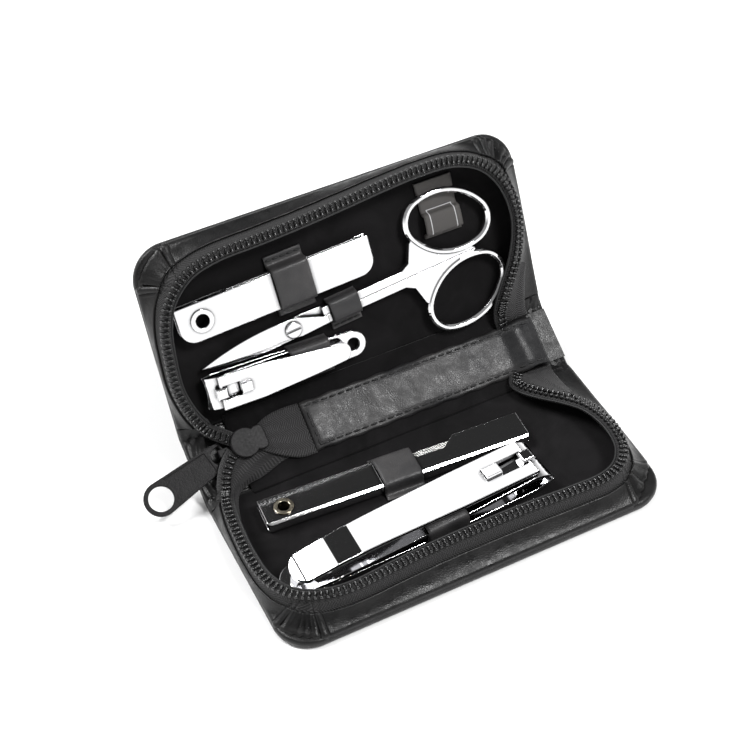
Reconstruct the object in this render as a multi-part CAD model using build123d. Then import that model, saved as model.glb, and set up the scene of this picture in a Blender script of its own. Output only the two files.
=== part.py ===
from build123d import *
import os
from math import acos, atan2, cos, radians, sin

os.makedirs("parts", exist_ok=True)

# A zipped leather manicure case, standing open on its base half, with five steel tools held
# in leather loops. Millimetres. The origin is the centre of the base half's underside, +X runs
# along the spine, +Y from the base half towards the lid half, +Z up.

# ---- case ----
case_length = 119.0
cover_depth = 57.0          # from the fold line to the outer edge of each half
cover_thickness = 3.0
cover_corner = 13.0
cover_edge_bevel = 0.9
spine_width = 21.0          # between the two fold lines
fold_angle = 32.0           # each fold at rest, so the lid stands at twice this
hinge_gap = 0.1             # round the spine's rolled edges
panel_gap = 1.0             # linings stay this far back from the folds

gusset_inset = 1.7          # from the cover's edge, where the soft wall starts
gusset_lean = 0.9           # how far its top leans in
base_far_lean = 3.0         # added to that along the base half's outer side
lid_far_lean = -0.6
gusset_thickness = 1.0
gusset_top = 10.6
gusset_start = 4.4          # the wall's ends stay this far from the fold
gusset_corner = 11.8

lining_thickness = 0.6
lining_gap = 0.3

# ---- zip ----
tape_thickness = 0.6
chain_inset = 4.0           # centre of the chain from the cover's edge
chain_corner = 15.0
chain_neck = 24.0           # where the chain leaves the side wall for the spine
chain_left_margin = 6.0     # from the case's end to where it leaves the half for the slider
chain_right_margin = 17.5   # from the case's end to where it dives under the spine's strip
chain_start = 4.4           # its ends stay this far from the fold
tape_lip = 1.3              # tape left inside the chain's centre line
tooth_pitch = 1.7
tooth_length = 2.8
tooth_width = 0.85
tooth_height = 1.25
tooth_gap = 0.05

# ---- spine ----
strip_length = 77.0
strip_width = 15.0
strip_thickness = 0.9
strip_x = 14.6
strip_round = 0.8
end_tab_length = 6.0
web_thickness = 0.6
web_end_width = 13.0

# ---- slider and pull ----
slider_x = -43.3
slider_across = 12.4        # from the first fold line
slider_height = 6.7
slider_turn = 1.0
slider_radius = 4.4
slider_tail_width = 7.2
slider_tail_round = 1.3
slider_tail = 6.3
slider_shoulder = 2.6       # where the tail starts behind the round nose
slider_plate = 0.7
slider_edge = 0.25
slider_throat = 1.6         # between its two plates
slider_post = 1.5
bail_width = 2.2
bail_bar = 0.5
bail_drop = 1.8
bail_front = 7.9
bail_back = 2.4
pull_length = 27.2
pull_width = 10.0           # round its hole
pull_neck = 7.2             # at the slider
pull_thickness = 1.4
pull_hole_radius = 3.65
pull_rim = 0.7
pull_recess = 0.25
pull_slope = 3.2
pull_turn = 14.0            # to one side in the slider's loose bail
pull_bar_radius = 0.5       # round bar through the slider's bail
pull_slot_width = 5.2
pull_slot_length = 4.2
pull_eye_x = 6.2            # from the slider's centre

# ---- leather loops ----
strap_thickness = 0.8
strap_gap = 0.3             # from the tool it holds
strap_foot = 2.6
strap_corner = 0.9
seat_gap = 0.3              # between a tool and the lining
comb_loop_x = 22.5          # each loop's start is from its tool's pivot or cutting edge
comb_loop_width = 11.5
scissors_loop_x = 12.0
scissors_loop_width = 9.5
file_loop_x = 28.5
file_loop_width = 12.0
file_loop_foot = 2.0
spare_place = (26.4, 37.2)
spare_width = 12.0
spare_half_span = 2.7
spare_height = 1.6
spare_foot = 1.0
spare_patch = 9.2

# ---- folding comb and folding file ----
sheet = 0.5                 # steel sheet of the folded handles
handle_thickness = 3.2
barrel_gap = 0.08           # running fit of a blade on its eyelet
flange_thickness = 0.4

comb_place = (-44.8, 33.6)
comb_turn = 2.2
comb_width = 11.0
comb_back = 7.0             # handle behind the eyelet
comb_front = 53.0
comb_corner = 4.5
comb_flange_radius = 3.4
comb_hole_radius = 2.05
comb_barrel_wall = 0.4
comb_thickness = 1.5
comb_tooth_pitch = 1.6
comb_tooth_gap = 0.7
comb_teeth = 24
comb_proud = 0.3

file_place = (-41.6, 14.6)
file_turn = -3.4
file_width = 9.8
file_back = 6.3
file_front = 74.5
file_slant = 14.0           # length of the slanted end of the file's blade
file_corner = 1.5
file_flange_radius = 2.85
file_hole_radius = 1.75
file_barrel_wall = 0.35
file_thickness = 1.0
file_notch_start = 35.0
file_notch_end = 54.0
file_notch_depth = 3.6
file_notch_ramp = 4.0

# ---- scissors ----
scissors_place = (-19.9, 21.5)
scissors_turn = 4.3
blade_length = 28.5
blade_half_width = 3.2
blade_thickness = 1.45
blade_gap = 0.1
shank_width = 2.5
shank_split = 0.12          # half the gap between the closed shanks
shank_start = 10.0
shank_low = 0.6
shank_thickness = 2.3
ring_x = 54.4
ring_y = 11.3
ring_long = 14.3            # half axes of the finger ring's outline
ring_short = 10.2
ring_end = 8.0              # radius of its two ends
ring_bevel = 0.55
ring_turn = 22.0
ring_band = 1.9
ring_low = 1.0
ring_thickness = 2.2
screw_radius = 1.5
screw_head_radius = 2.5
screw_head = 0.6
screw_gap = 0.08

# ---- what the two clippers share ----
clipper_pin_gap = 0.08
clipper_bar_gap = 0.06
clipper_lift = 0.3          # lever's bar above the upper jaw
clipper_head = 0.5          # pin's foot under the lower jaw
jaw_taper = 0.4             # share of a jaw's length at which it starts to narrow

small_clipper = dict(
    place=(-49.7, 12.2), turn=-1.9, length=50.2, width=9.6, tail_width=7.6, sheet=1.0, height=4.7,
    nose=5.0, edge_gap=0.7, edge_dip=0.8, tail_flat=12.0, pin_x=4.2, pin_radius=1.0, foot_radius=1.8,
    bar_radius=0.6, lever_length=40.0, lever_width=10.0, lever_end=5.2, lever_sheet=1.0,
    window_length=5.6, window_half=2.1, block_half=1.7, lever_drop=0.9, hole_from_tail=3.8, hole_radius=2.0,
    rivet_from_tail=9.6, rivet_radius=1.1, tongue=3.2, loop_x=26.3, loop_width=12.6, loop_feet=(1.2, 0))

big_clipper = dict(
    wall_gap=6.2, across=33.5, turn=183.55, length=83.5, width=14.0, tail_width=10.5, sheet=1.3, height=6.9,
    nose=7.0, edge_gap=0.9, edge_dip=1.3, tail_flat=16.0, pin_x=5.4, pin_radius=1.25, foot_radius=2.3,
    bar_radius=0.75, lever_length=75.0, lever_width=12.6, lever_end=9.6, lever_sheet=1.2,
    window_length=9.0, window_half=2.5, block_half=2.0, lever_drop=2.4, hole_from_tail=None,
    hole_radius=None, rivet_from_tail=7.5, rivet_radius=1.6, tongue=5.0, loop_x=28.6, loop_width=13.1,
    loop_feet=(1.6, 1.6))

# ---- derived places ----
axis_height = cover_thickness / 2
floor = cover_thickness + lining_thickness
seat = floor + seat_gap
tape_z = gusset_top - tape_thickness
tooth_z = gusset_top + tooth_gap
half_length = case_length / 2
chain_side = half_length - chain_inset
chain_left_end = half_length - chain_left_margin
chain_right_end = half_length - chain_right_margin
big_reach = max(big_clipper["length"], big_clipper["pin_x"] + big_clipper["lever_length"])
big_clipper["place"] = (big_reach + big_clipper["wall_gap"] - half_length, big_clipper["across"])

base_frame = Pos(0, cover_depth / 2, 0)
spine_frame = base_frame * Pos(0, 0, axis_height) * Rot(fold_angle, 0, 0) * Pos(0, 0, -axis_height)
lid_frame = (spine_frame * Pos(0, spine_width, axis_height) * Rot(fold_angle, 0, 0)
             * Pos(0, 0, -axis_height))


def in_base(place, turn):
    return base_frame * Pos(place[0], -place[1], seat) * Rot(0, 0, turn)


def in_lid(place, turn):
    return lid_frame * Pos(place[0], place[1], seat) * Rot(0, 0, turn)


def rod(radius, low, high):
    return Pos(0, 0, (low + high) / 2) * Cylinder(radius, high - low)


def cross_rod(radius, length):
    return Rot(90, 0, 0) * Cylinder(radius, length)


def block(x_range, y_range, z_range):
    size = [high - low for low, high in (x_range, y_range, z_range)]
    middle = [(high + low) / 2 for low, high in (x_range, y_range, z_range)]
    return Pos(*middle) * Box(*size)


def side_profile(edges, width):
    """A closed outline in X and Z, drawn out to a width centred on Y = 0."""
    face = make_face([Plane.XZ * edge for edge in edges])
    return extrude(face, amount=width / 2, both=True)


# ---- one half of the case, in its own frame: Y outwards from the fold, Z into the tray ----

def half_outline(inset, corner, fold_edge, far_lean=0):
    far = cover_depth - inset - far_lean
    sheet_face = Pos(0, (far + fold_edge) / 2) * Rectangle(2 * (half_length - inset), far - fold_edge)
    return fillet(sheet_face.vertices().group_by(Axis.Y)[-1], corner)


def neck_middle(side, end, start_y, neck_y):
    """Middle point of the arc that leaves the side wall and reaches the fold."""
    across = side - end
    along = neck_y - start_y
    radius = (across ** 2 + along ** 2) / (2 * across)
    half_turn = acos((radius - across) / radius) / 2
    return side - radius * (1 - cos(half_turn)), neck_y - radius * sin(half_turn)


def chain_edges(inside, far_lean):
    """The zip's line round one half, moved inwards by a distance."""
    side = chain_side - inside
    far = cover_depth - chain_inset - far_lean - inside
    corner = chain_corner - inside
    left = chain_left_end - inside
    right = chain_right_end - inside
    left_mid = neck_middle(side, left, chain_start, chain_neck)
    right_mid = neck_middle(side, right, chain_start, chain_neck)
    turn = corner * (1 - cos(radians(45)))
    return [
        ThreePointArc((-left, chain_start), (-left_mid[0], left_mid[1]), (-side, chain_neck)),
        Line((-side, chain_neck), (-side, far - corner)),
        ThreePointArc((-side, far - corner), (-side + turn, far - turn), (-side + corner, far)),
        Line((-side + corner, far), (side - corner, far)),
        ThreePointArc((side - corner, far), (side - turn, far - turn), (side, far - corner)),
        Line((side, far - corner), (side, chain_neck)),
        ThreePointArc((side, chain_neck), right_mid, (right, chain_start)),
    ]


def make_cover():
    cover = extrude(half_outline(0, cover_corner, 0), amount=cover_thickness)
    rims = cover.edges().group_by(Axis.Z)
    rolled = [edge for rim in (rims[0], rims[-1]) for edge in rim if edge.center().Y > 0.1]
    cover = chamfer(rolled, cover_edge_bevel)
    reach = axis_height + hinge_gap
    cover -= Pos(0, 0, axis_height) * Rot(0, 90, 0) * Cylinder(reach, case_length + 2)
    cover -= block((-case_length, case_length), (-reach, reach), (axis_height, 2 * cover_thickness))
    return cover


def leaning_block(inset, corner, fold_edge, far_lean):
    """A half's outline, drawn up from its cover and leaning in on the way."""
    low = Pos(0, 0, cover_thickness) * half_outline(inset, corner, fold_edge)
    high = Pos(0, 0, gusset_top) * half_outline(inset + gusset_lean, corner, fold_edge, far_lean)
    return loft([low, high], ruled=True)


def make_gusset(far_lean):
    outer = leaning_block(gusset_inset, gusset_corner, gusset_start, far_lean)
    inner = leaning_block(gusset_inset + gusset_thickness, gusset_corner - gusset_thickness,
                          -gusset_start, far_lean)
    return outer - inner


def make_tape(far_lean):
    edge_inset = gusset_inset + gusset_lean + gusset_thickness
    outer = half_outline(edge_inset, gusset_corner - gusset_thickness, gusset_start, far_lean)
    edges = chain_edges(tape_lip, far_lean)
    first = edges[0] @ 0
    last = edges[-1] @ 1
    low = chain_start - 1
    edges += Polyline(last, (last.X, low), (first.X, low), first).edges()
    inner = make_face(edges)
    return Pos(0, 0, tape_z) * extrude(outer - inner, amount=tape_thickness)


def make_teeth(far_lean):
    edges = chain_edges(0, far_lean)
    lengths = [edge.length for edge in edges]
    count = int((sum(lengths) - tooth_width) / tooth_pitch)
    first = (sum(lengths) - count * tooth_pitch) / 2
    teeth = []
    for i in range(count + 1):
        along = first + i * tooth_pitch
        n = 0
        while along > lengths[n]:
            along -= lengths[n]
            n += 1
        point = edges[n] @ (along / lengths[n])
        heading = edges[n] % (along / lengths[n])
        angle = Vector(1, 0, 0).get_signed_angle(heading, Vector(0, 0, 1))
        teeth.append(Pos(point.X, point.Y, tooth_z + tooth_height / 2) * Rot(0, 0, angle)
                     * Box(tooth_width, tooth_length, tooth_height))
    return teeth


def make_lining():
    edge = gusset_inset + gusset_thickness + lining_gap
    start = axis_height + panel_gap
    return Pos(0, 0, cover_thickness) * extrude(half_outline(edge, gusset_corner - gusset_thickness, start),
                                                amount=lining_thickness)


# ---- the spine, in its own frame: Y across from the first fold, Z into the case ----

def make_spine_cover():
    plate = block((-half_length, half_length), (0, spine_width), (0, cover_thickness))
    for across in (0, spine_width):
        plate += Pos(0, across, axis_height) * Rot(0, 90, 0) * Cylinder(axis_height, case_length)
    return plate


def make_spine_lining():
    edge = axis_height + panel_gap
    return block((slider_x, half_length - end_tab_length - lining_gap), (edge, spine_width - edge),
                 (cover_thickness, floor))


def make_end_tab():
    edge = axis_height + panel_gap
    return block((half_length - end_tab_length, half_length - lining_gap), (edge, spine_width - edge),
                 (cover_thickness, floor))


def make_strip():
    plate = Pos(strip_x, spine_width / 2, floor + strip_thickness / 2) * Box(
        strip_length, strip_width, strip_thickness)
    plate = fillet(plate.edges().filter_by(Axis.Z), strip_round)
    return plate


def make_web():
    """Woven zip ends: from under the slider down to the strip, fanning out on the way."""
    end = strip_x - strip_length / 2
    low = floor
    high = slider_height - web_thickness / 2
    knee = slider_x + slider_tail
    stop = slider_x + slider_post + 0.8
    line = Polyline((end, low), (end, low + web_thickness), (knee, high + web_thickness),
                    (stop, high + web_thickness), (stop, high), (knee, high), close=True)
    slab = extrude(make_face(Plane.XZ * line), amount=-spine_width)
    middle = spine_width / 2
    near = slider_across - slider_tail_width / 2
    far = slider_across + slider_tail_width / 2
    fan = Polyline((end, middle - web_end_width / 2), (end, middle + web_end_width / 2), (knee, far),
                   (stop, far), (stop, near), (knee, near), close=True)
    return slab & extrude(make_face(fan), amount=2 * slider_height)


# ---- slider and pull, in the slider's frame: -X is the way it closes, -Z the outside ----

def slider_plate_face():
    tail = RectangleRounded(slider_tail - slider_shoulder, slider_tail_width, slider_tail_round)
    waist = Pos(slider_tail / 2) * Rectangle(slider_tail / 2, slider_tail_width - 2 * slider_tail_round)
    return Circle(slider_radius) + Pos((slider_tail + slider_shoulder) / 2) * tail + waist


def make_slider():
    half_throat = slider_throat / 2
    top = Pos(0, 0, half_throat) * extrude(slider_plate_face(), amount=slider_plate)
    top = chamfer(top.edges().group_by(Axis.Z)[-1], slider_edge)
    bottom = Pos(0, 0, -half_throat - slider_plate) * extrude(slider_plate_face(), amount=slider_plate)
    post_face = Pos(-slider_radius / 2) * Ellipse(slider_radius / 2 - 0.4, slider_post)
    post = extrude(post_face, amount=half_throat, both=True)
    return top + bottom + post


def make_bail():
    top = -slider_throat / 2 - slider_plate
    low = top - bail_drop
    arch = block((-bail_front, -bail_back), (-bail_width / 2, bail_width / 2), (low, top))
    eye = block((-bail_front + bail_bar, -bail_back - bail_bar), (-bail_width, bail_width),
                (low + bail_bar, top + 0.01))
    arch -= eye
    nose = block((-bail_front, -slider_radius + 0.4), (-bail_width / 2, bail_width / 2),
                 (top, top + bail_bar))
    return (arch + nose) - block((-slider_radius - 0.01, 0), (-bail_width, bail_width), (top, top + 2))


def make_pull():
    """The pull, lying on its own eye bar at the origin and pointing along -X."""
    half = pull_thickness / 2
    far = pull_length - pull_width / 2
    flare = (pull_width - pull_neck) / 2 / far

    def tapered(start, end, rim):
        near_half = pull_neck / 2 + flare * start - rim
        far_half = pull_neck / 2 + flare * end - rim
        return make_face(Polyline((-start, -near_half), (-start, near_half), (-end, far_half),
                                  (-end, -far_half), close=True))

    plate = Pos(-far) * Circle(pull_width / 2) + tapered(0, far, 0)
    body = extrude(plate, amount=half, both=True) + cross_rod(half, pull_neck)
    rim = Pos(-far) * Cylinder(pull_hole_radius + pull_rim, 2 * pull_thickness)
    panel_face = tapered(pull_slot_length + pull_rim, far - pull_hole_radius, pull_rim)
    panel = extrude(panel_face, amount=pull_recess) - rim
    body -= Pos(0, 0, half - pull_recess) * panel
    body -= Pos(0, 0, -half) * panel
    body -= Pos(-far) * Cylinder(pull_hole_radius, 2 * pull_thickness)
    slot_half = pull_slot_width / 2
    body -= Pos(slot_half - pull_slot_length) * Cylinder(slot_half, 2 * pull_thickness)
    body -= block((slot_half - pull_slot_length, 2 * half), (-slot_half, slot_half),
                  (-pull_thickness, pull_thickness))
    return body + cross_rod(pull_bar_radius, pull_neck - pull_rim)


# ---- leather loops, in the frame of the tool that they hold ----

def make_strap(x_start, width, y_low, y_high, tool_top, foot_low=strap_foot, foot_high=strap_foot):
    ground = -seat_gap
    inner_low = y_low - strap_gap
    inner_high = y_high + strap_gap
    inner_top = tool_top + strap_gap
    outer = Pos((inner_low + inner_high) / 2, (inner_top + strap_thickness + ground) / 2) * Rectangle(
        inner_high - inner_low + 2 * strap_thickness, inner_top + strap_thickness - ground)
    outer = fillet(outer.vertices().group_by(Axis.Y)[-1], strap_corner + strap_thickness)
    inner = Pos((inner_low + inner_high) / 2, (inner_top + ground) / 2) * Rectangle(
        inner_high - inner_low, inner_top - ground)
    inner = fillet(inner.vertices().group_by(Axis.Y)[-1], strap_corner)
    face = outer - inner
    for edge, foot, side in ((inner_low, foot_low, -1), (inner_high, foot_high, 1)):
        if foot > 0:
            near = edge + side * strap_thickness * 0.5
            far = edge + side * (strap_thickness + foot)
            face += Pos((near + far) / 2, ground + strap_thickness / 2) * Rectangle(
                abs(far - near), strap_thickness)
    return Pos(x_start) * extrude(Plane.YZ * face, amount=width)


# ---- folding comb and file: pivot at the origin, open edge of the handle towards +Y ----

def make_handle(width, back, front, corner):
    face = Pos((front - back) / 2) * Rectangle(front + back, width)
    face = fillet(face.vertices().group_by(Axis.Y)[0], corner)
    shell = Pos(0, 0, flange_thickness) * extrude(face, amount=handle_thickness)
    shell -= block((-2 * back, 2 * front), (-width / 2 + sheet, width),
                   (flange_thickness + sheet, flange_thickness + handle_thickness - sheet))
    return shell


def make_eyelet(flange_radius, hole_radius, wall):
    top = 2 * flange_thickness + handle_thickness
    body = rod(hole_radius + wall, 0, top)
    for low in (0, top - flange_thickness):
        body += rod(flange_radius, low, low + flange_thickness)
    return body - rod(hole_radius, -1, top + 1)


def barrel_bore(hole_radius, wall):
    return rod(hole_radius + wall, -1, 2 * handle_thickness)


def make_comb_handle():
    handle = make_handle(comb_width, comb_back, comb_front, comb_corner)
    return handle - barrel_bore(comb_hole_radius, comb_barrel_wall)


def make_comb_blade():
    top = comb_width / 2 + comb_proud
    tang = comb_width / 2 - sheet - 0.3
    tip = comb_front - 1.5
    root = 1.4
    low = -comb_width / 2 + sheet + 0.3
    end = tip - 2.4
    points = [(3.6, 3.2), (9.5, top), (tip - 2.0, top), (tip, top - 2.0), (tip, low)]
    points.append((end, low))
    x = end
    for n in range(comb_teeth):
        points += [(x, root), (x - comb_tooth_gap, root), (x - comb_tooth_gap, low)]
        x -= comb_tooth_pitch
        if n < comb_teeth - 1:
            points.append((x, low))
    x -= 1.2
    points += [(x, low), (3.6, -3.2)]
    blade = make_face(Polyline(*points, close=True)) + Circle(tang)
    middle = flange_thickness + handle_thickness / 2
    blade = Pos(0, 0, middle) * extrude(blade, amount=comb_thickness / 2, both=True)
    return blade - rod(comb_hole_radius + comb_barrel_wall + barrel_gap, -1, 2 * handle_thickness)


def make_file_handle():
    handle = make_handle(file_width, file_back, file_front, file_corner)
    edge = file_width / 2
    deep = edge - file_notch_depth
    notch = Polyline((file_notch_start, edge + 1), (file_notch_start + file_notch_ramp, deep),
                     (file_notch_end - file_notch_ramp, deep), (file_notch_end, edge),
                     (file_notch_end, edge + 1), close=True)
    handle -= extrude(make_face(notch), amount=2 * handle_thickness)
    return handle - barrel_bore(file_hole_radius, file_barrel_wall)


def make_file_blade():
    half = file_width / 2 - sheet - 0.5
    tip = file_front - 1.6
    face = make_face(Polyline((0, half), (tip - file_slant, half), (tip, -half + 1.2), (tip - 1.0, -half),
                              (0, -half), close=True)) + Circle(half)
    middle = flange_thickness + handle_thickness / 2
    blade = Pos(0, 0, middle) * extrude(face, amount=file_thickness / 2, both=True)
    return blade - rod(file_hole_radius + file_barrel_wall + barrel_gap, -1, 2 * handle_thickness)


# ---- scissors: pivot at the origin, rings towards +X, the upper ring's half is "a" ----

def oval(inside):
    """The finger ring's outline of four tangent arcs, moved inwards by a distance."""
    long = ring_long - inside
    short = ring_short - inside
    end = ring_end - inside
    side = ((long - end) ** 2 + short ** 2 - end ** 2) / (2 * (short - end))
    lean = atan2(side - short, long - end)
    x = long - end + end * cos(lean)
    y = end * sin(lean)
    return make_face([
        ThreePointArc((x, -y), (long, 0), (x, y)),
        ThreePointArc((x, y), (0, short), (-x, y)),
        ThreePointArc((-x, y), (-long, 0), (-x, -y)),
        ThreePointArc((-x, -y), (0, -short), (x, -y)),
    ])


def make_scissor_half(side):
    """side +1 has the ring on +Y and lies underneath, -1 has it on -Y and lies on top."""
    low = 0 if side > 0 else blade_thickness + blade_gap
    edge = -blade_half_width * side
    blade = make_face([
        ThreePointArc((-blade_length, -0.3 * side), (-blade_length * 0.55, 0.9 * edge), (0, edge)),
        Line((0, edge), (3.0, 0.75 * edge)),
        Line((3.0, 0.75 * edge), (shank_start, shank_split * side)),
        Line((shank_start, shank_split * side), (shank_start + 1.0, shank_split * side)),
        Line((shank_start + 1.0, shank_split * side), (shank_start + 1.0, shank_width * side)),
        Line((shank_start + 1.0, shank_width * side), (2.0, 2.9 * side)),
        Line((2.0, 2.9 * side), (-3.0, 2.1 * side)),
        ThreePointArc((-3.0, 2.1 * side), (-blade_length * 0.55, 1.3 * side), (-blade_length, -0.3 * side)),
    ])
    half = Pos(0, 0, low) * extrude(blade, amount=blade_thickness)
    ring_left = ring_x - ring_long * cos(radians(ring_turn))
    shank = make_face(Polyline(
        (shank_start, shank_split * side), (ring_x + 6, shank_split * side), (ring_x + 4, 1.6 * side),
        (ring_x - 6, 3.0 * side), (ring_left + 5.5, 5.2 * side), (ring_left + 1.4, 11.0 * side),
        (ring_left - 0.2, 9.6 * side), (ring_left - 2.2, 4.0 * side), (ring_left - 5.0, 2.5 * side),
        (shank_start, shank_width * side), close=True))
    half += Pos(0, 0, shank_low) * extrude(shank, amount=shank_thickness)
    ring = Pos(0, 0, ring_low) * extrude(oval(0) - oval(ring_band), amount=ring_thickness)
    ring = chamfer(ring.edges().group_by(Axis.Z)[0] + ring.edges().group_by(Axis.Z)[-1], ring_bevel)
    ring_frame = Pos(ring_x, ring_y * side) * Rot(0, 0, -ring_turn * side)
    half += ring_frame * ring
    half -= ring_frame * extrude(oval(ring_band), amount=10, both=True)
    gap = screw_gap if side < 0 else 0
    return half - rod(screw_radius + gap, -5, 10)


def make_screw():
    stack = 2 * blade_thickness + blade_gap
    screw = rod(screw_radius, 0, stack + 0.1)
    head = rod(screw_head_radius, stack + 0.1, stack + 0.1 + screw_head)
    head = chamfer(head.edges().group_by(Axis.Z)[-1], screw_head * 0.5)
    slot = block((-screw_head_radius, screw_head_radius), (-0.3, 0.3), (stack + 0.35, stack + 2))
    return screw + head - slot


# ---- nail clippers: cutting edge at X = 0, tail towards +X ----

def jaw_plan(c):
    half = c["width"] / 2
    tail = c["tail_width"] / 2
    length = c["length"]
    face = make_face([
        ThreePointArc((0, -half), (c["edge_dip"], 0), (0, half)),
        Line((0, half), (length * jaw_taper, half)),
        Line((length * jaw_taper, half), (length - tail, tail)),
        ThreePointArc((length - tail, tail), (length, 0), (length - tail, -tail)),
        Line((length - tail, -tail), (length * jaw_taper, -half)),
        Line((length * jaw_taper, -half), (0, -half)),
    ])
    return extrude(face, amount=4 * c["height"])


def pin_top(c):
    """Height of the lever's bar, which the pin's head carries."""
    return clipper_head + c["height"] + clipper_lift + c["bar_radius"]


def make_lower_jaw(c):
    thick = c["sheet"]
    base = clipper_head
    edge = base + (c["height"] - c["edge_gap"]) / 2
    nose = c["nose"]
    jaw = side_profile([
        TangentArc((nose, base), (0, edge), tangent=(-1, 0)),
        Line((0, edge), (0.4, edge)),
        TangentArc((nose, base + thick), (0.4, edge), tangent=(-1, 0)),
        Line((nose, base + thick), (c["length"], base + thick)),
        Line((c["length"], base + thick), (c["length"], base)),
        Line((c["length"], base), (nose, base)),
    ], 2 * c["width"])
    return finish_jaw(c, jaw & jaw_plan(c))


def make_upper_jaw(c):
    thick = c["sheet"]
    low = clipper_head + thick
    top = clipper_head + c["height"]
    edge = clipper_head + (c["height"] + c["edge_gap"]) / 2
    nose = c["nose"]
    bend = c["length"] - c["tail_flat"]
    jaw = side_profile([
        TangentArc((nose, top), (0, edge), tangent=(-1, 0)),
        Line((0, edge), (0.4, edge)),
        TangentArc((nose, top - thick), (0.4, edge), tangent=(-1, 0)),
        Line((nose, top - thick), (bend, low)),
        Line((bend, low), (c["length"], low)),
        Line((c["length"], low), (c["length"], low + thick)),
        Line((c["length"], low + thick), (bend, low + thick)),
        Line((bend, low + thick), (nose, top)),
    ], 2 * c["width"])
    return finish_jaw(c, jaw & jaw_plan(c))


def finish_jaw(c, jaw):
    tall = 4 * c["height"]
    jaw -= Pos(c["pin_x"]) * rod(c["pin_radius"] + clipper_pin_gap, -1, tall)
    jaw -= Pos(c["length"] - c["rivet_from_tail"]) * rod(c["rivet_radius"], -1, tall)
    if c["hole_radius"]:
        jaw -= Pos(c["length"] - c["hole_from_tail"]) * rod(c["hole_radius"], -1, tall)
    return jaw


def make_rivet(c):
    low = clipper_head
    high = clipper_head + 2 * c["sheet"]
    body = rod(c["rivet_radius"], low, high) + rod(c["rivet_radius"] * 1.35, high, high + 0.3)
    return Pos(c["length"] - c["rivet_from_tail"]) * body


def make_pin(c):
    """Foot, round shaft and a square head with a cross bore for the lever's bar."""
    top = clipper_head + c["height"] + clipper_lift * 0.5
    bar = pin_top(c)
    half = c["block_half"]
    body = rod(c["pin_radius"], 0, bar) + rod(c["foot_radius"], 0, clipper_head)
    head = block((-half, half), (-half, half), (top, bar + c["bar_radius"] + 0.7))
    head = chamfer(head.edges().group_by(Axis.Z)[-1], 0.5)
    body += head
    body -= Pos(0, 0, bar) * cross_rod(c["bar_radius"] + clipper_bar_gap, 4 * half)
    return Pos(c["pin_x"]) * body


def make_lever(c):
    """The lever, stowed flat along the upper jaw, its bar through the pin's head."""
    thick = c["lever_sheet"]
    bar = pin_top(c)
    start = c["pin_x"]
    end = start + c["lever_length"]
    flat = start + c["lever_length"] * 0.62
    drop = c["lever_drop"]
    top = bar + thick / 2
    low = bar - thick / 2
    strip_solid = side_profile([
        Line((start, low), (start, top)),
        Line((start, top), (flat, top)),
        TangentArc((flat, top), (end, top - drop), tangent=(1, 0)),
        Line((end, top - drop), (end - 0.1 * thick, low - drop)),
        TangentArc((flat, low), (end - 0.1 * thick, low - drop), tangent=(1, 0)),
        Line((flat, low), (start, low)),
    ], 2 * c["lever_width"])
    half = c["lever_width"] / 2
    tail = c["lever_end"] / 2
    plan = make_face([
        Line((start, -half), (start, half)),
        Line((start, half), (start + c["lever_length"] * 0.3, half * 0.98)),
        Line((start + c["lever_length"] * 0.3, half * 0.98), (end - tail * 0.6, tail)),
        ThreePointArc((end - tail * 0.6, tail), (end, 0), (end - tail * 0.6, -tail)),
        Line((end - tail * 0.6, -tail), (start + c["lever_length"] * 0.3, -half * 0.98)),
        Line((start + c["lever_length"] * 0.3, -half * 0.98), (start, -half)),
    ])
    lever = strip_solid & extrude(plan, amount=6 * c["height"])
    lever -= block((start - 5, start + c["window_length"]), (-c["window_half"], c["window_half"]), (0, 30))
    lever += Pos(start, 0, bar) * cross_rod(c["bar_radius"], c["lever_width"])
    tongue = Pos(start + c["window_length"], 0, top) * Rot(0, 90, 0) * Cylinder(
        c["window_half"] * 0.8, c["tongue"], align=(Align.CENTER, Align.CENTER, Align.MIN))
    crest = tongue & block((start, end), (-9, 9), (top - 0.4 * thick, top + 0.45 * c["window_half"]))
    return lever + crest


def make_clipper_strap(c):
    """A strap over the jaws and under the lever."""
    start = c["loop_x"]
    share = (start - c["nose"]) / (c["length"] - c["tail_flat"] - c["nose"])
    top = clipper_head + c["height"] - share * (c["height"] - 2 * c["sheet"])
    half = c["width"] / 2
    tail = c["tail_width"] / 2
    straight = c["length"] * jaw_taper
    half -= max(0, start - straight) / (c["length"] - tail - straight) * (half - tail)
    return make_strap(start, c["loop_width"], -half, half, top, *c["loop_feet"])


pieces = {}

# ---- the case's two halves ----
pieces["base_cover"] = base_frame * mirror(make_cover(), about=Plane.XZ)
pieces["base_gusset"] = base_frame * mirror(make_gusset(base_far_lean), about=Plane.XZ)
pieces["base_zip_tape"] = base_frame * mirror(make_tape(base_far_lean), about=Plane.XZ)
pieces["base_lining"] = base_frame * mirror(make_lining(), about=Plane.XZ)
pieces["base_zip_teeth"] = Compound([base_frame * mirror(tooth, about=Plane.XZ)
                                     for tooth in make_teeth(base_far_lean)])
pieces["lid_cover"] = lid_frame * make_cover()
pieces["lid_gusset"] = lid_frame * make_gusset(lid_far_lean)
pieces["lid_zip_tape"] = lid_frame * make_tape(lid_far_lean)
pieces["lid_lining"] = lid_frame * make_lining()
pieces["lid_zip_teeth"] = Compound([lid_frame * tooth for tooth in make_teeth(lid_far_lean)])

# ---- spine ----
pieces["spine_cover"] = spine_frame * make_spine_cover()
pieces["spine_lining"] = spine_frame * make_spine_lining()
pieces["spine_end_tab"] = spine_frame * make_end_tab()
pieces["spine_strip"] = spine_frame * make_strip()
pieces["zip_end_web"] = spine_frame * make_web()

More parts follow.
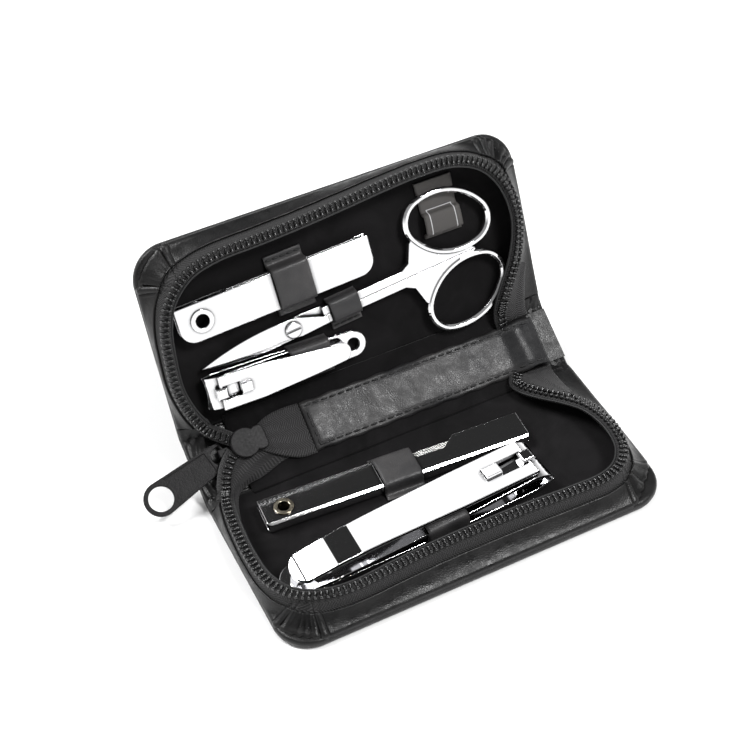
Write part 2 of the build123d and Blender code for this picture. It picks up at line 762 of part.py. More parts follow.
# ---- slider and pull ----
slider_frame = spine_frame * Pos(slider_x, slider_across, slider_height) * Rot(0, 0, slider_turn)
pull_height = -slider_throat / 2 - slider_plate - (bail_drop - bail_bar) / 2
pull_frame = (slider_frame * Pos(-pull_eye_x, 0, pull_height) * Rot(0, 0, pull_turn)
              * Rot(0, -pull_slope, 0))
pieces["zip_slider"] = slider_frame * make_slider()
pieces["slider_bail"] = slider_frame * make_bail()
pieces["zip_pull"] = pull_frame * make_pull()

# ---- folding comb ----
comb_frame = in_lid(comb_place, comb_turn)
pieces["comb_handle"] = comb_frame * make_comb_handle()
pieces["comb_eyelet"] = comb_frame * make_eyelet(comb_flange_radius, comb_hole_radius, comb_barrel_wall)
pieces["comb_blade"] = comb_frame * make_comb_blade()
pieces["comb_loop"] = comb_frame * make_strap(
    comb_loop_x, comb_loop_width, -comb_width / 2, comb_width / 2 + comb_proud,
    flange_thickness + handle_thickness)

# ---- scissors ----
scissors_frame = in_lid(scissors_place, scissors_turn)
pieces["scissors_half_a"] = scissors_frame * make_scissor_half(1)
pieces["scissors_half_b"] = scissors_frame * make_scissor_half(-1)
pieces["scissors_screw"] = scissors_frame * make_screw()
pieces["scissors_loop"] = scissors_frame * make_strap(
    scissors_loop_x, scissors_loop_width, -shank_width - 0.3, shank_width + 0.3,
    shank_low + shank_thickness, foot_high=0)

# ---- folding file ----
file_frame = in_base(file_place, file_turn)
pieces["file_handle"] = file_frame * make_file_handle()
pieces["file_eyelet"] = file_frame * make_eyelet(file_flange_radius, file_hole_radius, file_barrel_wall)
pieces["file_blade"] = file_frame * make_file_blade()
pieces["file_loop"] = file_frame * make_strap(
    file_loop_x, file_loop_width, -file_width / 2, file_width / 2, flange_thickness + handle_thickness,
    foot_low=file_loop_foot)

# ---- nail clippers ----
for name, c, place in (("small_clipper", small_clipper, in_lid), ("big_clipper", big_clipper, in_base)):
    frame = place(c["place"], c["turn"])
    pieces[name + "_lower_jaw"] = frame * make_lower_jaw(c)
    pieces[name + "_upper_jaw"] = frame * make_upper_jaw(c)
    pieces[name + "_rivet"] = frame * make_rivet(c)
    pieces[name + "_pin"] = frame * make_pin(c)
    pieces[name + "_lever"] = frame * make_lever(c)
    pieces[name + "_loop"] = frame * make_clipper_strap(c)

# ---- spare loop under the upper finger ring ----
pieces["spare_loop"] = in_lid(spare_place, 0) * make_strap(
    0, spare_width, -spare_half_span, spare_half_span, spare_height, spare_foot, spare_patch)

for node, shape in pieces.items():
    export_step(shape, f"parts/{node}.step")
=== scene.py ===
from math import cos, exp, pi, radians, sin
import bpy
import bmesh
import numpy as np
from mathutils import Matrix, Vector

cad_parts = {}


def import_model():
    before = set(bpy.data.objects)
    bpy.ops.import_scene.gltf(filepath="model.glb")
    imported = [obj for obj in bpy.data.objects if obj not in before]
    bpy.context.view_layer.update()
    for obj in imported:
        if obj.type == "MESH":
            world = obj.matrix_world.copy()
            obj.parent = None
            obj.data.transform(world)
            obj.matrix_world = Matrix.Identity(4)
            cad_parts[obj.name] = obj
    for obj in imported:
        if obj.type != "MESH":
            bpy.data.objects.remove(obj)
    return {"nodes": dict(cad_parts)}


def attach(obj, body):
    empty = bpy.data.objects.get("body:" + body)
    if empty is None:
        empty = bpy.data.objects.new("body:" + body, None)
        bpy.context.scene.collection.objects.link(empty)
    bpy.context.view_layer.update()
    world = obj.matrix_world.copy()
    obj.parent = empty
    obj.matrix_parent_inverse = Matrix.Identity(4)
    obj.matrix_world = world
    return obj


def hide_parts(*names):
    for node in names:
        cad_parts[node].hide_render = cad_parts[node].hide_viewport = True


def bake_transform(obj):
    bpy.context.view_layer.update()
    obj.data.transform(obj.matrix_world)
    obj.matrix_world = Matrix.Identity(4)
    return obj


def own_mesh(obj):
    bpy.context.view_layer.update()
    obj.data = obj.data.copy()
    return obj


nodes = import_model()["nodes"]
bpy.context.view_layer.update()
mm = 0.001
rng = np.random.default_rng(7)

case = {  # millimetres; each half has X along the spine, Y out from its fold and Z into the tray
    "halfLength": 59.5,  # from the middle to either end
    "coverDepth": 57,  # from a fold to a half's outer edge
    "rimCorner": 10.5,  # radius of the two far corners
    "spineWidth": 21,
    "fold": 32,  # degrees, at each edge of the spine
    "foldY": 28.5,  # the base half's fold in the row frame
    "foldZ": 1.5,  # the middle of the leather at the folds
    "floorZ": 3.6,  # top of the linings
    "seatZ": 3.9,  # underside of the tools
}
halfLength, coverDepth, rimCorner, spineWidth, foldDegrees, foldY, foldZ, floorZ, seatZ = case.values()
fold = radians(foldDegrees)
lidY = foldY + spineWidth * cos(fold)  # the lid's fold
lidZ = foldZ + spineWidth * sin(fold)


def turnedUp(p, y0, z0, angle):
    p = np.asarray(p, float)
    c, s = cos(angle), sin(angle)
    z = p[..., 2] - foldZ
    return np.stack([p[..., 0], y0 + p[..., 1] * c - z * s, z0 + p[..., 1] * s + z * c], -1)


def toBase(p):
    p = np.asarray(p, float)
    return np.stack([p[..., 0], foldY - p[..., 1], p[..., 2]], -1)


def toSpine(p):
    return turnedUp(p, foldY, foldZ, fold)


def toLid(p):
    return turnedUp(p, lidY, lidZ, 2 * fold)


places = {"base": toBase, "spine": toSpine, "lid": toLid}


def toolFrame(body, origin, turn):
    # takes points from a tool's own frame, turned by degrees on its seat, to the row frame
    c, s = cos(radians(turn)), sin(radians(turn))

    def move(p):
        p = np.asarray(p, float)
        x = origin[0] + p[..., 0] * c - p[..., 1] * s
        across = p[..., 0] * s + p[..., 1] * c
        y = origin[1] - across if body == "base" else origin[1] + across
        return places[body](np.stack([x, y, seatZ + p[..., 2]], -1))
    return move


# shader nodes
def isSocket(value):
    return isinstance(value, bpy.types.NodeSocket)


def feed(node, inputs):
    # a socket is linked, a number or a colour is set
    for key, value in inputs.items():
        if isSocket(value):
            node.id_data.links.new(value, node.inputs[key])
        else:
            node.inputs[key].default_value = value


def addNode(tree, kind, inputs=None, **values):
    node = tree.nodes.new(kind)
    for key, value in values.items():
        setattr(node, key, value)
    feed(node, inputs or {})
    return node


def nodeAfter(kind, inputs, **values):
    # in the tree of the sockets that feed it
    return addNode(next(filter(isSocket, inputs.values())).id_data, kind, inputs, **values)


def material(name, recipe, **values):
    # a recipe gives the shader's inputs
    made = bpy.data.materials.new(name)
    made.use_nodes = True
    tree = made.node_tree
    feed(tree.nodes["Principled BSDF"], recipe(tree, **values))
    return made


def calc(operation, *values):
    return nodeAfter("ShaderNodeMath", dict(enumerate(values)), operation=operation).outputs[0]


def vectorMath(operation, *values):
    return nodeAfter("ShaderNodeVectorMath", dict(enumerate(values)), operation=operation)


def noise(vector, scale, detail=3, roughness=0.5, distortion=0):
    inputs = {"Vector": vector, "Scale": scale, "Detail": detail, "Roughness": roughness,
              "Distortion": distortion}
    return nodeAfter("ShaderNodeTexNoise", inputs).outputs["Fac"]


def ramp(value, low, high, lowColour, highColour):
    node = nodeAfter("ShaderNodeValToRGB", {"Fac": value})
    for k, position, colour in ((0, low, lowColour), (1, high, highColour)):
        node.color_ramp.elements[k].position = position
        node.color_ramp.elements[k].color = (*colour, 1)
    return node.outputs["Color"]


def remap(value, low, high, newLow, newHigh):
    inputs = {"Value": value, "From Min": low, "From Max": high, "To Min": newLow, "To Max": newHigh}
    return nodeAfter("ShaderNodeMapRange", inputs).outputs["Result"]


def bump(height, strength, distance, normal=None):
    inputs = {"Strength": strength, "Distance": distance * mm, "Height": height}
    if normal is not None:
        inputs["Normal"] = normal
    return nodeAfter("ShaderNodeBump", inputs).outputs["Normal"]


def objectCoords(tree):
    return addNode(tree, "ShaderNodeTexCoord").outputs["Object"]


def axesOf(vector):
    return nodeAfter("ShaderNodeSeparateXYZ", {0: vector}).outputs


def weaveCoords(tree):
    # the piece's own map in millimetres, U along it and V across it
    axes = axesOf(addNode(tree, "ShaderNodeUVMap", uv_map="weave").outputs["UV"])
    return axes["X"], axes["Y"]


def ribs(along, pitch):
    return calc("SINE", calc("MULTIPLY", along, 2 * pi / pitch))


def leather(tree, base, roughness=0.34, grainScale=1500, crease=0.6, tint=None):
    where = objectCoords(tree)
    cells = addNode(tree, "ShaderNodeTexVoronoi", {"Vector": where, "Scale": grainScale},
                    feature="DISTANCE_TO_EDGE")
    grain = remap(cells.outputs["Distance"], 0, 0.28, 0, 1)
    soft = noise(where, 260, 4, 0.6, 0.4)
    broad = noise(where, 55, 3, 0.55, 0.6)
    folds = bump(broad, crease, 1)
    worn = tint or (base * 2.4, base * 2.3, base * 2.3)
    return {
        "Base Color": ramp(broad, 0.36, 0.7, (base, base, base * 1.06), worn),
        "Roughness": remap(soft, 0.3, 0.7, roughness - 0.1, roughness + 0.16),
        "Specular IOR Level": 0.27,
        "Normal": bump(grain, 0.4, 0.06, bump(soft, 0.5, 0.2, folds))}


def velvet(tree):
    where = objectCoords(tree)
    pile = noise(where, 3200, 2, 0.7)
    brushed = noise(where, 70, 3, 0.6, 1)
    return {
        "Base Color": ramp(brushed, 0.35, 0.7, (0.0035, 0.0033, 0.0035), (0.0075, 0.007, 0.0075)),
        "Roughness": 0.95, "Specular IOR Level": 0.12, "Sheen Weight": 0.06, "Sheen Roughness": 0.45,
        "Normal": bump(brushed, 0.15, 0.2, bump(pile, 0.5, 0.06))}


def webbing(tree, column, base, rib=0.8):
    # herringbone: slanted ribs that change side at each column
    u, v = weaveCoords(tree)
    saw = calc("PINGPONG", v, column)
    slanted = calc("ADD", u, calc("MULTIPLY", saw, 0.85))
    height = calc("ADD", calc("MULTIPLY", ribs(slanted, rib), 0.8),
                  calc("MULTIPLY", ribs(v, rib * 0.5), 0.15))
    lift = remap(height, -0.9, 0.9, 0, 1)
    return {
        "Base Color": ramp(lift, 0.25, 0.9, (base * 0.3, base * 0.3, base * 0.3),
                           (base * 2.2, base * 2.1, base * 2.2)),
        "Roughness": 0.62, "Specular IOR Level": 0.35, "Sheen Weight": 0.08,
        "Normal": bump(lift, 0.9, 0.16)}


def mouldedPlastic(tree):
    fine = noise(objectCoords(tree), 900, 2)
    return {
        "Base Color": ramp(fine, 0.4, 0.65, (0.003, 0.003, 0.0032), (0.006, 0.006, 0.0064)),
        "Roughness": remap(fine, 0.3, 0.7, 0.14, 0.26), "Specular IOR Level": 0.6,
        "Normal": bump(fine, 0.12, 0.03)}


def roundedEdges(tree, radius):
    return addNode(tree, "ShaderNodeBevel", {"Radius": radius * mm}, samples=6).outputs["Normal"]


def blackMetal(tree, roughness, grain):
    where = objectCoords(tree)
    speck = noise(where, 1700, 3, 0.7)
    broad = noise(where, 160, 2)
    return {
        "Base Color": ramp(broad, 0.35, 0.7, (0.006, 0.0056, 0.006), (0.011, 0.0104, 0.011)),
        "Roughness": remap(speck, 0.3, 0.7, roughness - 0.06, roughness + 0.1),
        "Specular IOR Level": 0.16,
        "Normal": bump(speck, grain, 0.1, roundedEdges(tree, 0.4))}


def chrome(tree, roughness=0.05, colour=(0.86, 0.86, 0.87), wave=0.04, edge=0.3):
    # polished plate with rounded edges, with painted shade: ambient occlusion darkens its colour where it is
    # shut in
    where = objectCoords(tree)
    slow = noise(where, 90, 2, 0.5, 0.3)
    fine = noise(where, 1100, 3, 0.6)
    plate = ramp(slow, 0.3, 0.7, tuple(c * 0.94 for c in colour), colour)
    # painted shade: ambient occlusion darkens the plate's colour in gaps and hollows
    paintedShadeAO = addNode(tree, "ShaderNodeAmbientOcclusion", {"Distance": 1.6 * mm, "Color": plate}, samples=6)
    paintedShadeRamp = ramp(paintedShadeAO.outputs["AO"], 0.45, 0.9, (0.1, 0.1, 0.1), (1, 1, 1))
    shade = addNode(tree, "ShaderNodeMix", {"Factor": 1, "A": paintedShadeAO.outputs["Color"], "B": paintedShadeRamp},
                    data_type="RGBA", blend_type="MULTIPLY")
    return {
        "Base Color": shade.outputs["Result"], "Metallic": 1,
        "Roughness": remap(fine, 0.35, 0.75, roughness * 0.7, roughness * 1.6),
        "Normal": bump(fine, 0.03, 0.02, bump(slow, wave, 0.25, roundedEdges(tree, edge)))}


def leaning(normal, axis, amount):
    # a normal leant along one of the piece's own axes
    lean = nodeAfter("ShaderNodeCombineXYZ", {axis: amount}).outputs[0]
    turned = nodeAfter("ShaderNodeVectorTransform", {0: lean}, vector_type="VECTOR",
                       convert_from="OBJECT", convert_to="WORLD").outputs[0]
    total = vectorMath("ADD", normal, turned).outputs[0]
    return vectorMath("NORMALIZE", total).outputs[0]


def crownedChrome(tree):
    # the large lever leans back at its bend and again at its thumb end, with a pressed line across
    inputs = chrome(tree)
    x = axesOf(objectCoords(tree))["X"]
    body = remap(x, -0.0300, -0.0308, -0.2, 0.085)
    thumb = remap(x, -0.0378, -0.0386, 0, -0.4)
    line = calc("ABSOLUTE", calc("ADD", x, 0.0475))
    groove = remap(line, 0.0002, 0.0004, 0.7, 0)
    lean = calc("ADD", calc("ADD", body, thumb), groove)
    inputs["Normal"] = leaning(inputs["Normal"], "X", lean)
    return inputs


def flangedChrome(tree):
    # the file's folded handle, whose near side rolls over its lower edge
    inputs = chrome(tree, wave=0.015, edge=0.35)
    axes = axesOf(objectCoords(tree))
    along = calc("MULTIPLY", calc("ADD", axes["X"], 0.0416), 0.0593)
    across = calc("ADD", calc("ADD", axes["Y"], -0.0139), along)
    lean = remap(across, -0.0040, -0.0038, -0.6, 0)
    inputs["Normal"] = leaning(inputs["Normal"], "Y", lean)
    return inputs


def brushedSteel(tree, colour=(0.6, 0.6, 0.61), cut=None):
    # cut is the pitch of a file's ribs in millimetres
    where = objectCoords(tree)
    stretched = addNode(tree, "ShaderNodeMapping", {"Scale": (0.05, 1, 1), "Vector": where})
    lines = noise(stretched.outputs["Vector"], 3500, 2, 0.7)
    depth, under = 0.15, None
    if cut:
        axes = axesOf(where)
        slant = calc("ADD", axes["X"], calc("MULTIPLY", axes["Y"], 0.35))
        depth, under = 0.1, bump(ribs(slant, cut * mm), 1, 0.16)
    return {
        "Base Color": ramp(lines, 0.3, 0.7, tuple(c * 0.8 for c in colour), colour),
        "Metallic": 1, "Roughness": 0.27, "Normal": bump(lines, depth, 0.02, under)}


def thread(tree, colour):
    twist = noise(objectCoords(tree), 5200, 2)
    return {
        "Base Color": ramp(twist, 0.3, 0.7, tuple(c * 0.5 for c in colour), colour),
        "Roughness": 0.6, "Normal": bump(twist, 0.5, 0.05)}


def wovenLabel(tree, halfWide=4.1, halfLong=6.4, middle=(6, 8.2), lineWidth=0.14):
    # fine ribs, with a thin plain border line
    u, v = weaveCoords(tree)
    warp = calc("MULTIPLY", ribs(u, 0.4), 0.4)
    height = remap(calc("ADD", ribs(v, 0.28), warp), -1.4, 1.4, 0, 1)
    inside = [calc("SUBTRACT", half, calc("ABSOLUTE", calc("SUBTRACT", at, centre)))
              for half, at, centre in ((halfWide, u, middle[0]), (halfLong, v, middle[1]))]
    near = calc("ABSOLUTE", calc("MINIMUM", *inside))
    cloth = ramp(height, 0.2, 0.9, (0.03, 0.028, 0.027), (0.075, 0.07, 0.066))
    mix = addNode(tree, "ShaderNodeMix", {"Factor": calc("LESS_THAN", near, lineWidth),
                                          "A": cloth, "B": (0.42, 0.42, 0.43, 1)}, data_type="RGBA")
    return {"Base Color": mix.outputs["Result"], "Roughness": 0.7, "Normal": bump(height, 0.5, 0.05)}


leatherMat = material("caseLeather", leather, base=0.0035)
strapMat = material("strapLeather", leather, base=0.022, roughness=0.36, grainScale=1700, crease=0.25)
stripMat = material("stripLeather", leather, base=0.015, grainScale=1900, crease=0.25)
edgeMat = material("rawEdge", leather, base=0.045, roughness=0.8, grainScale=2600, crease=0.2,
                   tint=(0.2, 0.18, 0.16))
velvetMat = material("velvetPile", velvet)
webMat = material("herringboneWeb", webbing, column=2, base=0.013)
tapeMat = material("zipTapeWeave", webbing, column=1.7, base=0.008)
toothMat = material("mouldedPlastic", mouldedPlastic)
sliderMat = material("sliderPaint", blackMetal, roughness=0.45, grain=0.15)
pullMat = material("pullPaint", blackMetal, roughness=0.36, grain=0.9)
chromeMat = material("mirrorChrome", chrome, roughness=0.045)
sheetMat = material("foldedSheetChrome", chrome, wave=0.015, edge=0.4)
steelMat = material("brushedSteel", brushedSteel)
fileMat = material("fileCut", brushedSteel, colour=(0.62, 0.62, 0.6), cut=0.75)
brassMat = material("paleBrass", chrome, roughness=0.18, colour=(0.62, 0.56, 0.44))
leverMat = material("crownedChrome", crownedChrome)
flangeMat = material("flangedChrome", flangedChrome)
threadMat = material("blackThread", thread, colour=(0.006, 0.006, 0.0065))
labelMat = material("wovenLabel", wovenLabel)
print("stage: materials")


# meshes, from points in millimetres in the row frame
def linked(name, data):
    made = bpy.data.objects.new(name, data)
    bpy.context.scene.collection.objects.link(made)
    return made


def smoothShade(mesh):
    mesh.polygons.foreach_set("use_smooth", [True] * len(mesh.polygons))


def setWeave(mesh, uv):
    layer = mesh.uv_layers.new(name="weave")
    corner = np.zeros(len(mesh.loops), np.int32)
    mesh.loops.foreach_get("vertex_index", corner)
    layer.data.foreach_set("uv", np.asarray(uv, np.float32)[corner].ravel())


def addPiece(name, points, faces, finish, uv=None):
    mesh = bpy.data.meshes.new(name)
    mesh.from_pydata([tuple(p) for p in np.asarray(points, float) * mm], [], faces)
    mesh.validate()
    mesh.materials.append(finish)
    smoothShade(mesh)
    if uv is not None:
        setWeave(mesh, uv)
    work = bmesh.new()  # all faces of a closed mesh look outwards
    work.from_mesh(mesh)
    bmesh.ops.recalc_face_normals(work, faces=work.faces)
    work.to_mesh(mesh)
    work.free()
    return linked(name, mesh)


def dress(piece, body, replaces=None):
    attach(piece, body)
    if replaces:
        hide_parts(replaces)


def blend(piece, slot, bodies, startY, endY, z, replaces=None):
    # works out a place on each of two bodies, each in its body's own frame, bakes the piece's transform and
    # hides the solids that it replaces
    start, end = (places[body]((0, y, z)) * mm for body, y in zip(bodies, (startY, endY)))
    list(bodies)
    tuple(start)
    tuple(end)
    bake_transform(piece)
    if replaces:
        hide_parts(replaces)


def gridFaces(rows, columns, closed=False, start=0):
    # closed joins the ends of each row and caps the first and last rows
    faces = []
    for i in range(rows - 1):
        for j in range(columns if closed else columns - 1):
            a, b = start + i * columns + j, start + i * columns + (j + 1) % columns
            faces.append((a, b, b + columns, a + columns))
    if closed:
        faces.append(tuple(range(columns)))
        faces.append(tuple(reversed(range((rows - 1) * columns, rows * columns))))
    return faces


def gridOf(a, b):
    return np.stack(np.meshgrid(a, b, indexing="ij"), -1)


def atHeight(plan, z):
    return np.pad(plan, ((0, 0), (0, 1)), constant_values=z)


def unit(rows):
    return rows / np.maximum(np.linalg.norm(rows, axis=-1, keepdims=True), 1e-9)


def shell(name, grid, thickness, finish, side=1, uv=None):
    # a sheet with a wall all round, from a grid of points on one of its faces
    rows, columns = grid.shape[:2]
    normal = unit(np.cross(np.gradient(grid, axis=0), np.gradient(grid, axis=1))) * side
    points = np.concatenate([grid.reshape(-1, 3), (grid - normal * thickness).reshape(-1, 3)])
    count = rows * columns
    faces = gridFaces(rows, columns)
    faces += [tuple(reversed(f)) for f in gridFaces(rows, columns, start=count)]
    index = np.arange(count).reshape(rows, columns)
    ring = np.concatenate([index[0], index[1:, -1], index[-1, -2::-1], index[-2:0:-1, 0]]).tolist()
    faces += [(b, a, a + count, b + count) for a, b in zip(ring, ring[1:] + ring[:1])]
    texture = None if uv is None else np.tile(uv.reshape(-1, 2), (2, 1))
    return addPiece(name, points, faces, finish, texture)


def catmull(points, steps=24):
    # a smooth line through points
    p = np.asarray(points, float)
    p = np.concatenate([[2 * p[0] - p[1]], p, [2 * p[-1] - p[-2]]])
    out = []
    for a, b, c, d in zip(p, p[1:], p[2:], p[3:]):
        for t in np.linspace(0, 1, steps, endpoint=False):
            out.append(0.5 * (2 * b + (c - a) * t + (2 * a - 5 * b + 4 * c - d) * t ** 2
                              + (3 * b - a - 3 * c + d) * t ** 3))
    out.append(p[-2])
    return np.array(out)


def walked(line):
    return np.concatenate([[0], np.cumsum(np.linalg.norm(np.diff(line, axis=0), axis=1))])


def rowsAt(at, along, rows):
    return np.stack([np.interp(at, along, rows[:, k]) for k in range(rows.shape[1])], -1)


def respace(line, step=None, count=None):
    along = walked(line)
    if count is None:
        count = max(2, int(round(along[-1] / step)) + 1)
    return rowsAt(np.linspace(0, along[-1], count), along, line)


def smoothed(line, times):
    for _ in range(times):
        line[1:-1] = (line[:-2] + 2 * line[1:-1] + line[2:]) / 4
    return line


def tube(name, line, radius, sides=7):
    # a round cord of thread along a line
    tangent = unit(np.gradient(line, axis=0))
    a = unit(np.cross(tangent, [0, 0, 1]))
    b = np.cross(tangent, a)
    angles = np.linspace(0, 2 * pi, sides, endpoint=False)
    ring = a[:, None] * np.cos(angles)[None, :, None] + b[:, None] * np.sin(angles)[None, :, None]
    points = (line[:, None] + ring * radius).reshape(-1, 3)
    return addPiece(name, points, gridFaces(len(line), sides, closed=True), threadMat)


# repeats: Geometry Nodes set a seed mesh on the points of a line
def repeatTree():
    tree = bpy.data.node_groups.new("alongLine", "GeometryNodeTree")
    for name, kind in (("Geometry", "Geometry"), ("Seed", "Object"), ("Finish", "Material")):
        tree.interface.new_socket(name, in_out="INPUT", socket_type="NodeSocket" + kind)
    tree.interface.new_socket("Geometry", in_out="OUTPUT", socket_type="NodeSocketGeometry")
    enter = addNode(tree, "NodeGroupInput").outputs
    seed = addNode(tree, "GeometryNodeObjectInfo", {"Object": enter["Seed"]})
    turn = addNode(tree, "GeometryNodeInputNamedAttribute", {"Name": "turn"}, data_type="FLOAT_VECTOR")
    placed = addNode(tree, "GeometryNodeInstanceOnPoints", {
        "Points": enter["Geometry"], "Instance": seed.outputs["Geometry"],
        "Rotation": turn.outputs["Attribute"]}).outputs[0]
    real = addNode(tree, "GeometryNodeRealizeInstances", {0: placed}).outputs[0]
    painted = addNode(tree, "GeometryNodeSetMaterial", {0: real, "Material": enter["Finish"]})
    addNode(tree, "NodeGroupOutput", {0: painted.outputs[0]})
    return tree


alongLine = repeatTree()


def repeat(name, seed, spots, headings, ups, finish):
    # seeds have X along the heading and Z up
    mesh = bpy.data.meshes.new(name + "Points")
    mesh.from_pydata([tuple(p) for p in np.asarray(spots) * mm], [], [])
    turns = []
    for heading, up in zip(headings, ups):
        x = Vector(heading).normalized()
        y = Vector(up).cross(x).normalized()
        turns += list(Matrix((x, y, x.cross(y))).transposed().to_euler())
    mesh.attributes.new("turn", "FLOAT_VECTOR", "POINT").data.foreach_set("vector", turns)
    carrier = linked(name + "Carrier", mesh)
    modifier = carrier.modifiers.new("repeat", "NODES")
    modifier.node_group = alongLine
    given = {"Seed": seed, "Finish": finish}
    for item in alongLine.interface.items_tree:
        if item.in_out == "INPUT" and item.name in given:
            modifier[item.identifier] = given[item.name]
    bpy.context.view_layer.update()
    made = bpy.data.meshes.new_from_object(carrier.evaluated_get(bpy.context.evaluated_depsgraph_get()))
    made.name = name
    carrier.modifiers.remove(modifier)
    bpy.data.objects.remove(carrier)
    smoothShade(made)
    return linked(name, made)


def barSeed(name, stations, sides, point):
    points = [point(2 * pi * k / sides, *row) for row in stations for k in range(sides)]
    made = addPiece(name, points, gridFaces(len(stations), sides, closed=True), toothMat)
    made.hide_render = True
    return made


def toothPoint(angle, at, wide, tall, foot=0.3, raised=0.12):
    up = sin(angle)
    return wide * cos(angle), at, raised + (tall * up if up > 0 else foot * up)


def stitchPoint(angle, at, width, radius=0.26, arch=0.16):
    wide = radius * width
    return at, wide * cos(angle), wide * sin(angle) + arch * (1 - at * at)


# a waisted bar across the chain with a knob at each end: place, half width, height
tooth = barSeed("toothSeed", [
    (-1.35, 0.14, 0.3), (-1.28, 0.44, 0.72), (-1.02, 0.6, 1), (-0.68, 0.5, 0.84), (-0.3, 0.36, 0.56),
    (0.26, 0.36, 0.54), (0.66, 0.5, 0.8), (1, 0.6, 0.96), (1.26, 0.42, 0.66), (1.33, 0.12, 0.26)],
    10, toothPoint)
# a rounded bar bowed up between its holes: place, share of its radius
stitch = barSeed("stitchSeed", [
    (-1, 0.12), (-0.94, 0.55), (-0.8, 0.88), (-0.45, 1), (0, 1), (0.45, 1), (0.8, 0.88), (0.94, 0.55),
    (1, 0.12)], 8, stitchPoint)
print("stage: helpers")

# the zip's line round each half, read off the photograph: X, out from the fold, height
zipLines = {"base": [
    (-54.6, 4.2, 9.3), (-55.9, 7.6, 10.2), (-56.9, 12.5, 10.6), (-57.7, 19.5, 10.8), (-58, 28, 10.8),
    (-57, 37, 10.7), (-52.8, 44.6, 10.6), (-45.5, 48.9, 10.6), (-36, 50.3, 10.6), (-24, 49.4, 10.5),
    (-10, 48.6, 10.5), (4, 48.5, 10.5), (18, 48.8, 10.6), (31, 49.4, 10.6), (41, 49.5, 10.6),
    (47.6, 47.4, 10.7), (51.9, 42.6, 10.8), (53.6, 36.2, 10.8), (53.4, 29.4, 10.7), (51.6, 23, 10.4),
    (48, 17.5, 9.8), (44, 12.6, 9), (41.2, 8.6, 8.2), (40, 5.4, 7.2), (39.9, 3.2, 6.4)
], "lid": [
    (-53.4, 3.8, 10.2), (-54.6, 6, 10.7), (-56, 9, 11), (-57.4, 13.6, 11), (-58.2, 19, 11),
    (-57.8, 27, 11), (-56.6, 35.6, 11), (-53.2, 43.3, 11), (-46, 49.4, 11), (-36.5, 51.8, 11),
    (-25, 52.2, 11), (-12, 52.9, 11), (2, 54, 11), (15, 55.2, 11), (27, 55.9, 11),
    (37, 55.3, 11), (45, 52.2, 11), (50.4, 46.6, 11), (53.3, 39.5, 11), (54, 32, 11),
    (52.6, 25, 11), (50.2, 18.6, 10.6), (47, 12.2, 9.6), (44.9, 7.4, 8.6), (44, 4.2, 7.6)]}

zipSizes = {"pitch": 1.62, "tape": 0.45, "samples": 1000}  # samples along each line
band = {
    "thickness": 0.7,
    "cover": 0.66,  # of the way from the rim to the chain, and at most
    "reach": 6.9,  # millimetres
    "pleatCentre": 14,  # from the two outer edges
    "pleats": 17.5,  # ridges in half a turn
    "pleatDepth": 2.2,
    "seam": 0.3,  # of the way from the rim to the chain
    "stitchGap": 2.9,
}


def rimOutline(inset, start=0):
    # along a half's outer edge from the left end of the fold round to the right end
    side, far, r = halfLength - inset, coverDepth - inset, rimCorner - inset
    turn = np.linspace(0, pi / 2, 40)[1:]
    line = [(-side, y) for y in np.linspace(start, far - r, 60)]
    line += [(-side + r - r * cos(a), far - r + r * sin(a)) for a in turn]
    line += [(x, far) for x in np.linspace(-side + r, side - r, 110)[1:]]
    line += [(side - r + r * sin(a), far - r + r * cos(a)) for a in turn]
    line += [(side, y) for y in np.linspace(far - r, start, 60)[1:]]
    return np.array(line)


def cornerPleats(points):
    # 1 round the two far corners and 0 along the straights, and the angle round the nearer corner
    share, angle, inset = np.zeros(len(points)), np.zeros(len(points)), band["pleatCentre"]
    for sign in (-1, 1):
        d = points[:, :2] - np.array([sign * (halfLength - inset), coverDepth - inset])
        turn = np.degrees(np.arctan2(d[:, 1], sign * d[:, 0]))
        away = np.hypot(d[:, 0], d[:, 1]) > 6
        share += np.clip((turn - 6) / 10, 0, 1) * np.clip((84 - turn) / 10, 0, 1) * away
        angle = np.where(points[:, 0] * sign > 0, turn, angle)
    return share, angle


def nearestOn(line, point):
    seg = np.diff(line, axis=0)
    t = np.clip(((point - line[:-1]) * seg).sum(1) / np.maximum((seg ** 2).sum(1), 1e-9), 0, 1)
    foot = line[:-1] + seg * t[:, None]
    return foot[np.argmin(((foot - point) ** 2).sum(1))]


